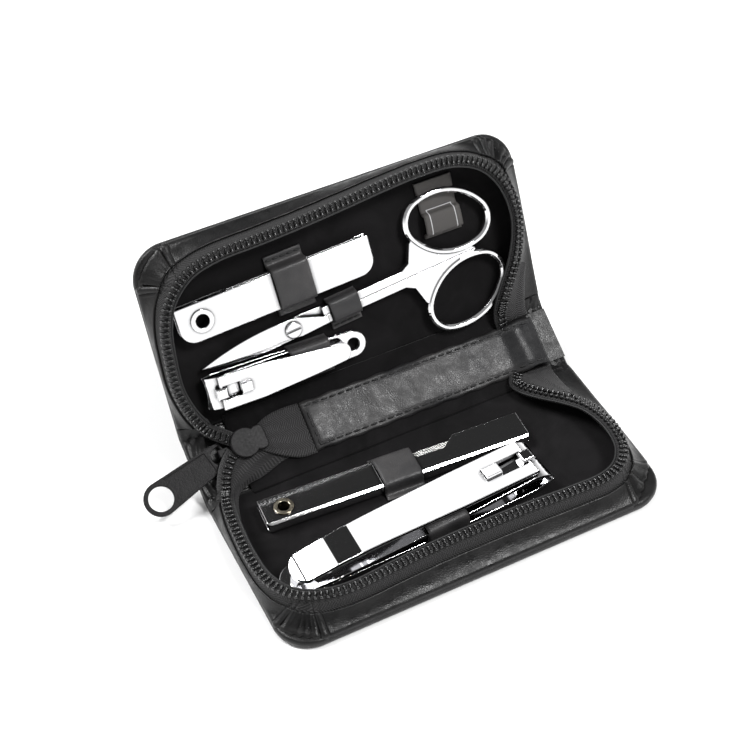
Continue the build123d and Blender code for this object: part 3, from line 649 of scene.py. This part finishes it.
def makeHalf(side):
    place, out = places[side], -1 if side == "base" else 1
    count = zipSizes["samples"]
    chain = respace(smoothed(respace(catmull(zipLines[side]), count=count), 22), count=count)
    rim = rimOutline(0.9, start=0.2)
    feet = smoothed(np.array([nearestOn(rim, p) for p in chain[:, :2]]), 36)
    gap = chain[:, :2] - feet
    reach = np.linalg.norm(gap, axis=1, keepdims=True)
    inward = gap / np.maximum(reach, 1e-6)
    tangent = unit(np.gradient(chain[:, :2], axis=0))
    inner = np.stack([tangent[:, 1], -tangent[:, 0]], -1)
    share, angle = cornerPleats(feet)
    ridge = np.abs(np.sin(np.radians(angle) * band["pleats"])) ** 0.55
    waves = smoothed(rng.normal(0, 1, len(chain)), 150)
    waves /= np.abs(waves).max()

    def wallPoint(s, lift=0, pleat=1):
        # s runs from the rim, 0, to the chain, 1
        s = np.broadcast_to(s, reach.shape)
        low, high = 3, chain[:, 2:3] - 0.5
        rise = 0.18 * s + 0.82 * s ** 1.7
        belly = np.sin(pi * np.clip(s, 0, 1))
        bulge = belly * 0.9 * np.clip(1 - reach / 6, 0, 1)
        plan = feet + gap * s - inward * bulge
        height = low + (high - low) * rise
        deep = share[:, None] * np.clip(np.sin(pi * np.clip(s * 0.85 + 0.15, 0, 1)), 0, 1) * pleat
        push = (ridge - 0.62)[:, None] * deep * band["pleatDepth"]
        droop = waves[:, None] * 0.3 * belly
        plan = plan - inward * (push * 0.8 + lift + droop * 0.6)
        return np.concatenate([plan, height + push * 0.75 + lift * 0.4], 1)

    def beside(across, down):
        # a line on the tray's side of the chain
        return np.concatenate([chain[:, :2] + inner * across, chain[:, 2:3] - down], 1)

    leatherEnd = np.minimum(band["cover"], band["reach"] / np.maximum(reach, 1e-6))
    steps = (0, 0.05, 0.11, 0.18, 0.27, 0.38, 0.5, 0.62, 0.74, 0.86, 0.95, 1)
    grid = np.stack([wallPoint(step * leatherEnd, lift=0.12) for step in steps], 1)
    grid[:, 0, 2] = 2.2  # tucked under the cover's rim
    leatherBand = shell(side + "Band", place(grid), band["thickness"], leatherMat, side=out)
    dress(leatherBand, side, side + "_gusset")

    tapeStart = leatherEnd * 0.84
    rows = [wallPoint(tapeStart + (1 - tapeStart) * step, lift=-0.25, pleat=0.5)
            for step in (0, 0.12, 0.25, 0.4, 0.6, 0.8, 1)]
    edge = beside(2.1, 0.55)
    tucked = chain[:, :2] * 0.35 + 0.65 * (feet + inward * 2.6)  # its foot on the lining
    tucked = smoothed(np.where(reach < 3.2, feet + inward * 3.4, tucked), 44)
    foot = atHeight(tucked, 3.65)
    rows += [beside(0.9, 0.45), edge, edge * 0.8 + foot * 0.2 - atHeight(inner * 0.35, 0),
             edge * 0.45 + foot * 0.55, foot]
    grid = np.stack(rows, 1)
    uv = gridOf(walked(chain), walked(grid[400]))
    tape = shell(side + "Tape", place(grid), zipSizes["tape"], tapeMat, side=out, uv=uv)
    dress(tape, side, side + "_zip_tape")
    dress(tube(side + "TapeEdge", place(beside(2.25, 0.35)), 0.34), side)

    beads = respace(chain, step=zipSizes["pitch"])
    raised = beads + np.array([0, 0, 0.05])
    ahead = place(beads + np.gradient(beads, axis=0) * 0.1 + np.array([0, 0, 0.05])) - place(raised)
    up = place(beads + np.array([0, 0, 1])) - place(beads)
    tilt = rng.normal(0, 0.02, (len(beads), 3)) * np.linalg.norm(ahead, axis=1, keepdims=True)
    teeth = repeat(side + "Chain", tooth, place(raised), ahead + tilt, up, toothMat)
    dress(teeth, side, side + "_zip_teeth")

    seam = wallPoint(band["seam"], lift=0.22)
    walk = walked(seam)
    at = np.arange(2, walk[-1] - 2, band["stitchGap"])
    spots = rowsAt(at, walk, seam)
    upWall = rowsAt(at, walk, wallPoint(0.36) - wallPoint(0.24))
    headings = place(rowsAt(at + 0.5, walk, seam)) - place(spots)
    normals = np.cross(headings, place(spots + upWall) - place(spots)) * out
    stitches = repeat(side + "BandStitches", stitch, place(spots), headings, normals, threadMat)
    dress(stitches, side)


makeHalf("base")
makeHalf("lid")
print("stage: bands, tapes and chains")

# a padded board with a rolled rim: inset and height of each line round it
coverProfile = [(6, 0), (2.4, 0), (1.6, 0.01), (0.75, 0.14), (0.22, 0.6), (0, 1.3), (0.02, 2.1),
                (0.3, 2.75), (0.85, 3.06), (1.6, 3.02), (3.2, 2.9), (6, 2.9)]
lining = {"inset": 3, "thickness": 0.6, "swell": 0.12}


def makeCover(side):
    rings = []
    for inset, z in coverProfile:
        near = 1.2 + 0.5 * max(inset - 1.6, 0)
        foldSide = [(x, near) for x in np.linspace(halfLength - inset, -(halfLength - inset), 80)[1:-1]]
        line = np.concatenate([rimOutline(inset, start=near), np.array(foldSide)])
        rings.append(atHeight(line, z))
    faces = gridFaces(len(rings), len(rings[0]), closed=True)
    cover = addPiece(side + "Cover", places[side](np.concatenate(rings)), faces, leatherMat)
    dress(cover, side, side + "_cover")


def makeLining(side):
    half, far = halfLength - lining["inset"], coverDepth - lining["inset"]
    grid = gridOf(np.linspace(-half, half, 90), np.linspace(1.6, far, 44))
    for sign in (-1, 1):  # the square corner is drawn in to a round one
        centre = np.array([sign * (half - rimCorner), far - rimCorner])
        d = grid - centre
        outside = (d[..., 0] * sign > 0) & (d[..., 1] > 0)
        size = np.linalg.norm(d, axis=-1)
        square = np.maximum(np.abs(d[..., 0]), np.abs(d[..., 1]))
        pull = np.where(outside & (size > 1e-6), square / np.maximum(size, 1e-6), 1)
        grid = np.where(outside[..., None], centre + d * pull[..., None], grid)
    z = floorZ + lining["swell"] * np.sin(grid[..., 0] * 0.21 + 1) * np.sin(grid[..., 1] * 0.27)
    panel = np.concatenate([grid, z[..., None]], -1)
    out = 1 if side == "lid" else -1
    made = shell(side + "Lining", places[side](panel), lining["thickness"], velvetMat, side=out)
    dress(made, side, side + "_lining")


for make in (makeCover, makeLining):
    make("base")
    make("lid")
print("stage: covers and linings")

skin = {"half": 1.5, "wrinkle": 0.6}  # half of the leather's thickness, and how much of its waves is left
bridge = {"left": -46, "right": 52.5, "thickness": 0.5}  # the lining over the folds


def spineSkin(name, low):
    # the outer leather from one half, round its fold and up to the middle of the spine
    place, centreY, centreZ = (toBase, foldY, foldZ) if low else (toLid, lidY, lidZ)
    end = halfLength - 0.02
    xs = np.concatenate([[-end], np.linspace(-halfLength + 0.5, halfLength - 0.5, 70), [end]])
    bends = np.linspace(0, fold, 9)
    rows = []
    for x in xs:
        edge = np.clip((halfLength - abs(x)) / 1.4, 0, 1) ** 0.5
        thick = skin["half"] * (0.25 + 0.75 * edge)
        wrinkle = 0.12 * sin(x * 0.5) + 0.08 * sin(x * 1.3 + 2)
        section = []
        for sign in (-1, 1):
            layer = [place((x, out, foldZ + sign * thick)) for out in (3, 2, 1)]
            for bend in (bends if low else bends[::-1]):
                turn = bend if low else fold + bend
                radius = sign * thick + wrinkle * sin(bend / fold * pi) * skin["wrinkle"]
                y, z = centreY - radius * sin(turn), centreZ + radius * cos(turn)
                layer.append(np.array([x, y, z]))
            layer += [toSpine((x, y if low else spineWidth - y, foldZ + sign * thick))
                      for y in np.linspace(1, spineWidth / 2 + 0.15, 6)]
            section += layer if sign < 0 else layer[::-1]
        rows.append(section)
    grid = np.array(rows)
    return addPiece(name, grid.reshape(-1, 3), gridFaces(*grid.shape[:2], closed=True), leatherMat)


def liningBridge(name, low):
    place = toBase if low else toLid
    rows = []
    for x in np.linspace(bridge["left"], bridge["right"], 60):
        rows.append([place((x, out, floorZ)) for out in (3.4, 2.4, 1.4)]
                    + [toSpine((x, y if low else spineWidth - y, floorZ - 0.05))
                       for y in np.linspace(1.6, spineWidth / 2 + 0.1, 8)])
    return shell(name, np.array(rows), bridge["thickness"], velvetMat, side=-1 if low else 1)


blend(spineSkin("spineSkinLower", True), "black_leather", ("base", "spine"), 2.2, 2.2, foldZ, "spine_cover")
blend(spineSkin("spineSkinUpper", False), "black_leather", ("spine", "lid"), spineWidth - 2.2, 2.2, foldZ)
blend(liningBridge("spineLiningLower", True), "black_velvet", ("base", "spine"), 2, 2.4, floorZ,
      "spine_lining")
blend(liningBridge("spineLiningUpper", False), "black_velvet", ("spine", "lid"), spineWidth - 2.4, 2, floorZ)

strip = {  # the stitched strip along the spine, its right end riding up over the end tab
    "left": -23.9, "right": 53.1, "low": 2.95, "high": 18.05,
    "skew": -0.6,  # over its length
    "thickness": 0.9,
    "seam": 1.5,  # in from its edges
    "stitchGap": 2.75,
}
stripLeft, stripRight, stripLow, stripHigh = (strip[key] for key in ("left", "right", "low", "high"))
bodyUps = {body: np.array([0, -sin(k * fold), cos(k * fold)])
           for k, body in enumerate(("base", "spine", "lid"))}
spineUp = bodyUps["spine"]


def onStrip(x, y, above):
    # a point in the spine's frame, above the strip's underside
    rise = np.clip((x - 41) / 6, 0, 1)
    z = floorZ + 0.25 + 2.3 * rise * rise * (3 - 2 * rise) - 0.9 * np.clip((x - 48) / 5, 0, 1)
    return x, y + strip["skew"] * (x - stripLeft) / (stripRight - stripLeft), z + 0.45 + above


def makeStrip():
    xs, ys = np.linspace(stripLeft, stripRight, 120), np.linspace(stripLow, stripHigh, 22)
    grid = np.zeros((len(xs), len(ys), 3))
    for i, x in enumerate(xs):
        for j, y in enumerate(ys):
            edge = min(y - stripLow, stripHigh - y, x - stripLeft, stripRight - x)
            soft = 0.55 * min(1, edge / 1.8) ** 0.6
            seam = -0.22 * exp(-((edge - strip["seam"]) / 0.35) ** 2)
            dip = 0.5 * exp(-((x + 12) / 6) ** 2)
            wobble = 0.26 * sin(x * 0.2 + 0.05 * y - 1.2) + 0.06 * sin(x * 0.9 + 0.3 * y) - dip
            outEdge = 0.18 * sin(x * 0.8) if j in (0, len(ys) - 1) else 0
            grid[i, j] = onStrip(x, y + outEdge, soft + seam + wobble * min(1, edge / 2))
    made = shell("spineStrip", toSpine(grid), strip["thickness"], stripMat)
    made.data.materials.append(edgeMat)
    for polygon in made.data.polygons:
        if polygon.area > 0 and abs(polygon.normal.dot(Vector(spineUp))) < 0.45:
            polygon.material_index = 1
    dress(made, "spine", "spine_strip")

    inset = strip["seam"]
    left, right = stripLeft + inset, stripRight - 2
    low, high = stripLow + inset, stripHigh - inset
    spots, heads = [], []
    for ends in (((left, low), (right, low)), ((left, high), (right, high)), ((left, low), (left, high))):
        start, end = np.array(ends)
        length = np.linalg.norm(end - start)
        direction = (end - start) / length
        for d in np.arange(0.8, length - 0.4, strip["stitchGap"]):
            spots.append(onStrip(*(start + direction * d), 0.42))
            heads.append(onStrip(*(start + direction * (d + 0.4)), 0.42))
    spots, heads = toSpine(np.array(spots)), toSpine(np.array(heads))
    ups = np.tile(spineUp, (len(spots), 1))
    rows = repeat("stripStitches", stitch, spots, heads - spots, ups, threadMat)
    dress(rows, "spine")


makeStrip()
print("stage: spine")

strap = {"thickness": 0.8, "gap": 0.3, "round": 1.5, "keep": 0.45}  # keep is the share of its height that a squashed loop would keep; no loop is squashed here


def strapSection(low, high, top, footLow, footHigh):
    # the line across a loop, foot to foot, on the strap's middle surface
    thick, gap = strap["thickness"], strap["gap"]
    ground, peak = -0.3 + thick / 2, top + gap + thick / 2
    low, high = low - gap - thick / 2, high + gap + thick / 2
    r = min(strap["round"], (peak - ground) * 0.45)
    line = []
    if footLow > 0:
        line += [(low - footLow, ground - 0.05), (low - footLow * 0.5, ground)]
    line += [(low - 0.45, ground + 0.05), (low, ground + 0.5), (low, peak - r)]
    line += [(low + r - r * cos(a), peak - r + r * sin(a)) for a in (0.5, 1)]
    for t in (np.arange(7) + 0.5) / 7:
        line.append((low + r + (high - low - 2 * r) * t, peak + 0.16 * sin(pi * t)))
    line += [(high - r + r * cos(a), peak - r + r * sin(a)) for a in (1, 0.5)]
    line += [(high, peak - r), (high, ground + 0.5), (high + 0.45, ground + 0.05)]
    if footHigh > 0:
        line += [(high + footHigh * 0.5, ground), (high + footHigh, ground - 0.05)]
    return respace(smoothed(respace(np.array(line), count=70), 2), count=70)


def makeStrap(name, node, body, at, turn, joint, start, width, low, high, top, feet, seam=None,
              finish=strapMat):
    move = toolFrame(body, at, turn)
    line = strapSection(low, high, top, *feet)
    count = 18
    grid = np.zeros((count, len(line), 3))
    for i in range(count):
        t = i / (count - 1)
        dip = -0.16 * max(0, 1 - min(t, 1 - t) * width / 0.8)
        crown = 0.12 * sin(pi * t)
        for j, (y, z) in enumerate(line):
            arch = cos(pi * (j / (len(line) - 1) - 0.5))
            waist = 0.35 * arch * (t - 0.5)
            grid[i, j] = (start + t * width - waist, y, z + (crown + dip) * arch)
    made = shell(name, move(grid), strap["thickness"], finish)
    origin, above = move(np.zeros(3)), move(np.array([0, 0, 1]))
    outwards = move(np.array([0, 0, strap["thickness"] / 2])) - origin
    made.data.transform(Matrix.Translation(Vector(outwards * mm)))
    dress(made, body, node)
    if joint:
        anchor = move(np.array([start, (low + high) / 2, -0.3])) * mm
        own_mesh(made)
    if seam:
        spots = np.array([(x, seam, 0.6) for x in np.arange(start + 1.4, start + width - 0.6, 2.2)])
        headings = move(spots + np.array([0.4, 0, 0])) - move(spots)
        ups = np.tile(above - origin, (len(spots), 1))
        rows = repeat(name + "Stitches", stitch, move(spots), headings, ups, threadMat)
        dress(rows, body)
    return made


straps = {  # at and turn of the tool; start and width along it, low and high across, top above its seat
    "combLoop": dict(node="comb_loop", body="lid", at=(-44.8, 33.6), turn=2.2, joint="comb_out",
                     start=22.5, width=11.5, low=-5.5, high=5.8, top=3.6, feet=(2.6, 2.9), seam=8.3),
    "scissorsLoop": dict(node="scissors_loop", body="lid", at=(-19.9, 21.5), turn=4.3, joint="scissors_out",
                         start=12, width=9.5, low=-2.8, high=2.8, top=2.9, feet=(2.6, 0), seam=-5.2),
    "smallClipperLoop": dict(node="small_clipper_loop", body="lid", at=(-49.7, 12.2), turn=-1.9,
                             joint="small_clipper_out", start=26.3, width=12.6, low=-4.3, high=4.3,
                             top=3.75, feet=(1.2, 0)),
    "fileLoop": dict(node="file_loop", body="base", at=(-41.6, 14.6), turn=-3.4, joint="file_out",
                     start=28.5, width=12, low=-4.9, high=4.9, top=3.6, feet=(2, 2.6), seam=7.2),
    "bigClipperLoop": dict(node="big_clipper_loop", body="base", at=(30.2, 33.5), turn=183.55,
                           joint="big_clipper_out", start=28.6, width=13.1, low=-7, high=7, top=5.6,
                           feet=(1.6, 1.6)),
    "spareLoop": dict(node="spare_loop", body="lid", at=(26.4, 37.2), turn=0, joint=None, start=0,
                      width=12, low=-2.7, high=2.7, top=1.6, feet=(1, 9.2), finish=labelMat),
}
loops = {name: makeStrap(name, **values) for name, values in straps.items()}
labelMap = gridOf(np.linspace(0, 12, 18), np.linspace(0, 26, 70)).reshape(-1, 2)
setWeave(loops["spareLoop"].data, np.tile(labelMap, (2, 1)))
print("stage: loops")


def path(*parts):
    # a line through points given in the frames of the bodies that it crosses
    return [places[body](p) for body, points in parts for p in points]


def patch(name, left, right, columns, rows, sag, side, place=None):
    # a four-sided woven sheet between two lines
    left, right = respace(catmull(left), count=rows), respace(catmull(right), count=rows)
    t = np.linspace(0, 1, columns)
    grid = left[:, None] * (1 - t)[None, :, None] + right[:, None] * t[None, :, None]
    grid[..., 2] += sag * np.sin(pi * t)[None, :] * np.sin(pi * np.linspace(0, 1, rows))[:, None]
    width = np.linalg.norm(grid[rows // 2, 0] - grid[rows // 2, -1])
    uv = gridOf(walked(grid[:, 0]), np.linspace(0, width, columns))
    return shell(name, place(grid) if place else grid, 0.5, webMat, side=side, uv=uv)


# the woven zip end between the strip and the slider
dress(patch("zipEndWeb", [(-24, 2.6, 4.2), (-29, 2.9, 4.8), (-34.5, 5.4, 5.9), (-40, 9.2, 6.8)],
            [(-24, 18.2, 4.2), (-29, 18.3, 5.2), (-34.5, 17.6, 6.4), (-40, 15.4, 6.9)],
            24, 30, 0.5, -1, toSpine), "spine", "zip_end_web")


def foldWeb(name, outer, inner, side, *across):
    # herringbone tape opening out between a chain, the strip and the leather across a fold
    blend(patch(name, path(*outer), path(*inner), 20, 34, 0.4, side), "black_webbing", *across)


def zipRun(name, line, turned, innerSide, bodies, *across):
    # chain, tape and edge cord on a line that crosses a fold, turned by shares from body to body
    line = smoothed(respace(catmull(path(*line)), count=60), 3)
    first, second = (bodyUps[body] for body in bodies)
    ups = [first * (1 - share) + second * share for share in turned]
    up = unit(smoothed(respace(catmull(ups), count=60), 3))
    inner = np.cross(up, unit(np.gradient(line, axis=0))) * innerSide
    offsets = np.array([-1.5, -0.6, 0.5, 1.4, 2.3])
    sag = np.array([-0.75, -0.5, -0.5, -0.55, -0.7])
    grid = line[:, None] + inner[:, None] * offsets[None, :, None] + up[:, None] * sag[None, :, None]
    uv = gridOf(walked(line), offsets + 1.5)
    tape = shell(name + "Tape", grid, zipSizes["tape"], tapeMat, side=-innerSide, uv=uv)
    cord = tube(name + "Edge", line + inner * 2.4 - up * 0.55, 0.32)
    beads = respace(line, step=zipSizes["pitch"])[1:-1]
    beadUps = rowsAt(np.linspace(0, 1, len(beads)), np.linspace(0, 1, len(up)), up)
    teeth = repeat(name + "Chain", tooth, beads, np.gradient(beads, axis=0), beadUps, toothMat)
    for piece, slot in ((tape, "black_webbing"), (cord, "black_webbing"), (teeth, "black_plastic")):
        blend(piece, slot, bodies, *across)


foldWeb("baseLeftWeb",
        [("spine", [(-40, 9.4, 6.6), (-45, 9.6, 6.6), (-50, 7, 7), (-52.6, 3.2, 7.5)]),
         ("base", [(-53.9, 3.2, 8.2), (-54.8, 6.5, 9.2), (-55.8, 12, 9.9)])],
        [("spine", [(-26.5, 3.4, 4.3), (-33, 4.2, 4.3), (-41.5, 1.9, 4.4)]),
         ("base", [(-46.5, 0.6, 4.7), (-50, 2.6, 4.7), (-52, 6.5, 4.5), (-53.8, 13, 4.2)])],
        1, ("base", "spine"), 4, 4.4, 8)
foldWeb("baseRightWeb",
        [("spine", [(43.5, 2.2, 4.4)]),
         ("base", [(41, 3.4, 6), (41.6, 6.2, 7), (44.2, 11, 8.4), (48.6, 16.6, 9.4)])],
        [("spine", [(53.2, 1.6, 4.1)]),
         ("base", [(52.8, 2.6, 4.6), (52.4, 5.5, 5.4), (51.8, 10, 6.8), (51.6, 15.5, 8.6)])],
        1, ("base", "spine"), 3.4, 3.8, 6)
foldWeb("lidRightWeb",
        [("spine", [(45.2, 18.2, 4.4)]),
         ("lid", [(44.8, 3.4, 6.4), (45.6, 7, 7.6), (48, 12.5, 9), (51, 18.5, 10.2)])],
        [("spine", [(53.4, 18.6, 4.1)]),
         ("lid", [(53.2, 2.4, 4.8), (53.2, 6, 6), (53.4, 11, 7.6), (54.2, 17, 9.4)])],
        -1, ("spine", "lid"), 17.2, 4, 6)

zipRun("baseLeftRun",
       [("base", [(-55.6, 6.4, 10), (-54.6, 4.2, 9.3), (-53.9, 2.9, 8.6)]),
        ("spine", [(-53, 3.4, 8), (-51.4, 6.2, 7.4), (-49.3, 8.8, 7.1), (-46.9, 10.9, 6.9)])],
       (0, 0, 0.4, 1, 1, 1, 1), 1, ("base", "spine"), 4, 4.4, 8)
zipRun("lidLeftRun",
       [("spine", [(-46.5, 14.3, 6.9), (-48.5, 15.9, 7.2), (-50.8, 17.6, 8)]),
        ("lid", [(-52.4, 2.2, 9.4), (-53.4, 3.8, 10.2), (-54.3, 5.6, 10.6)])],
       (0, 0, 0, 0.6, 1, 1), -1, ("spine", "lid"), 17, 4, 8)
zipRun("baseRightRun",
       [("spine", [(45, 5.2, 2.9), (43.4, 3.2, 3.9), (41.4, 1.5, 5.6)]),
        ("base", [(40, 3.6, 6.6), (40.2, 5.6, 7.3)])],
       (0, 0, 0.4, 1, 1), -1, ("spine", "base"), 3.8, 3.4, 6)
zipRun("lidRightRun",
       [("lid", [(45.2, 7.8, 8.8), (44.2, 4.8, 7.8)]),
        ("spine", [(43.8, 18.8, 6.6), (44.2, 17, 4.6), (45.2, 15, 3.2)])],
       (0, 0.4, 1, 1, 1), -1, ("lid", "spine"), 4, 17.2, 6)

ears = {  # leather from a half's band over the fold on to the spine, at its right end, 1, or left, -1
    "baseRightEar": dict(half="base", end=1, innerX=51.2, crest=1.1),
    "lidRightEar": dict(half="lid", end=1, innerX=51.2, crest=1.6),
    "baseLeftEar": dict(half="base", end=-1, innerX=-54.2, crest=5.2),
    "lidLeftEar": dict(half="lid", end=-1, innerX=-53.2, crest=6.4),
}


def makeEar(name, half, end, innerX, crest):
    place, low = places[half], half == "base"
    rimX = end * (halfLength - 0.1)
    across, along = 22, 34
    turnAt = 0.3  # share of its length on the half
    grid = np.zeros((along, across, 3))
    for i in range(along):
        t = i / (along - 1)
        out = 3.4 * (1 - min(1, t / turnAt))
        over = max(0, t - turnAt) / 0.7 * 9.6
        seam = 0.3 * exp(-((t - 0.34) / 0.035) ** 2) - 0.35 * exp(-((t - 0.42) / 0.04) ** 2)
        for j in range(across):
            s = j / (across - 1)
            x = rimX + (innerX - rimX) * s
            rise = crest * s ** 1.5 * (1 - min(1, t / 0.72)) ** 1.1
            crumple = 0.28 * sin(2.3 * x + 9 * t) * sin(pi * s) * sin(pi * t)
            edge = -1 * (1 - min(1, s / 0.1)) ** 2
            z = 3.12 + rise + (crumple + seam * 0.7) * min(1, s * 4) + edge * 0.9
            if t < turnAt:
                grid[i, j] = place((x, out, z))
            else:
                y = over - rise * 0.25 if low else spineWidth - over + rise * 0.25
                share = min(1, (t - turnAt) / 0.18)
                grid[i, j] = toSpine((x, y, z)) * share + place((x, -over * 0.5, z)) * (1 - share)
    grid = np.stack([smoothed(grid[:, j].copy(), 2) for j in range(across)], 1)
    ear = shell(name, grid, 0.25, leatherMat, side=end if low else -end)
    blend(ear, "black_leather", (half, "spine"), 2.6, 3.4 if low else spineWidth - 3.4, 3)


for name, values in ears.items():
    makeEar(name, **values)
print("stage: zip ends and ears")

finishes = [  # of the pieces carried over from the solids
    (sliderMat, ["zip_slider", "slider_bail"]),
    (pullMat, ["zip_pull"]),
    (leatherMat, ["spine_end_tab"]),
    (sheetMat, ["comb_handle"]),
    (flangeMat, ["file_handle"]),
    (brassMat, ["file_eyelet"]),
    (steelMat, ["comb_blade", "small_clipper_rivet", "big_clipper_rivet"]),
    (fileMat, ["file_blade"]),
    (leverMat, ["big_clipper_lever"]),
    (chromeMat, ["scissors_half_a", "scissors_half_b", "scissors_screw", "comb_eyelet",
                 "small_clipper_lever"]
     + [size + part for size in ("small", "big")
        for part in ("_clipper_lower_jaw", "_clipper_upper_jaw", "_clipper_pin")]),
]
for finish, names in finishes:
    for name in names:
        nodes[name].data.materials.clear()
        nodes[name].data.materials.append(finish)
for seed in (tooth, stitch):
    bpy.data.objects.remove(seed)
print("stage: carried-over pieces")

view = {  # the photograph's angle, in degrees and millimetres
    "tilt": 47.15, "azimuth": 25, "roll": -2.04,
    "lookAt": (6.28, 53.2, 0), "distance": 496.52,
    "focal": 1622.39, "frame": 750,  # pixels
}
tilt, azimuth, roll = (radians(view[key]) for key in ("tilt", "azimuth", "roll"))
upright = Vector((0, 0, 1))
rightWay = Vector((cos(azimuth), -sin(azimuth), 0))
level = Vector((sin(azimuth), cos(azimuth), 0))
forward = level * cos(tilt) - upright * sin(tilt)
upWay = level * sin(tilt) + upright * cos(tilt)
camRight = rightWay * cos(roll) + upWay * sin(roll)
camUp = upWay * cos(roll) - rightWay * sin(roll)
camera = linked("camera", bpy.data.cameras.new("camera"))
spot = Vector(view["lookAt"]) * mm - forward * view["distance"] * mm
turn = Matrix((camRight, camUp, -forward)).transposed().to_4x4()
camera.matrix_world = Matrix.Translation(spot) @ turn
camera.data.sensor_width = 36
camera.data.lens = view["focal"] / view["frame"] * 36
camera.data.clip_start = 0.01
camera.data.clip_end = 20
bpy.context.scene.camera = camera


def paleFloor(tree):
    cloudy = noise(objectCoords(tree), 6)
    return {"Base Color": ramp(cloudy, 0.3, 0.7, (0.86, 0.86, 0.86), (0.88, 0.88, 0.88)),
            "Roughness": 0.9, "Specular IOR Level": 0.1}


floorMesh = bpy.data.meshes.new("floor")
floorMesh.from_pydata([(-3, -3, 0), (3, -3, 0), (3, 3, 0), (-3, 3, 0)], [], [(0, 1, 2, 3)])
floorMesh.materials.append(material("paleFloor", paleFloor))
linked("floor", floorMesh)

studio = {  # reflected brightness: from low to high in the sky, a bright panel and a dark one
    "low": 1.35, "high": 0.3,
    "panel": 1.1, "panelAt": (-0.04, 0.6, 0.79),
    "dark": 0.1, "darkAt": (0.287, 0.569, 0.771),
    "sun": 3.3, "sunAngle": 26, "sunTowards": (0.45, -0.39, -0.75),
    "lamp": 8, "lampSize": 0.26, "lampAt": (0.31, -0.33, 0.81), "lampTarget": (0, 0.03, 0),
}
world = bpy.data.worlds.new("studio")
bpy.context.scene.world = world
world.use_nodes = True
tree = world.node_tree
tree.nodes.clear()
direction = addNode(tree, "ShaderNodeTexCoord").outputs["Generated"]


def facing(towards):
    unitTowards = Vector(towards).normalized()
    return vectorMath("DOT_PRODUCT", direction, unitTowards).outputs["Value"]


sky = remap(axesOf(direction)["Z"], 0.08, 0.45, studio["low"], studio["high"])
panel = remap(facing(studio["panelAt"]), 0.978, 0.984, 0, studio["panel"])
dark = remap(facing(studio["darkAt"]), 0.9877, 0.9925, 1, studio["dark"])
bright = calc("MULTIPLY", calc("ADD", sky, panel), dark)
glow = addNode(tree, "ShaderNodeBackground", {"Color": bright})
seen = addNode(tree, "ShaderNodeBackground", {"Color": (1, 1, 1, 1)})
pick = addNode(tree, "ShaderNodeMixShader", {
    "Fac": addNode(tree, "ShaderNodeLightPath").outputs["Is Camera Ray"],
    1: glow.outputs[0], 2: seen.outputs[0]})
addNode(tree, "ShaderNodeOutputWorld", {"Surface": pick.outputs[0]})


def addLight(name, kind, energy, towards, at=(0, 0, 0), **values):
    data = bpy.data.lights.new(name, kind)
    data.energy = energy
    for key, value in values.items():
        setattr(data, key, value)
    light = linked(name, data)
    light.location = at
    light.rotation_euler = towards.to_track_quat("-Z", "Y").to_euler()


addLight("keyLight", "SUN", studio["sun"], Vector(studio["sunTowards"]),
         angle=radians(studio["sunAngle"]))
addLight("topLight", "AREA", studio["lamp"], Vector(studio["lampTarget"]) - Vector(studio["lampAt"]),
         studio["lampAt"], shape="SQUARE", size=studio["lampSize"])
bpy.context.scene.view_settings.view_transform = "Standard"
print("stage: light and camera")
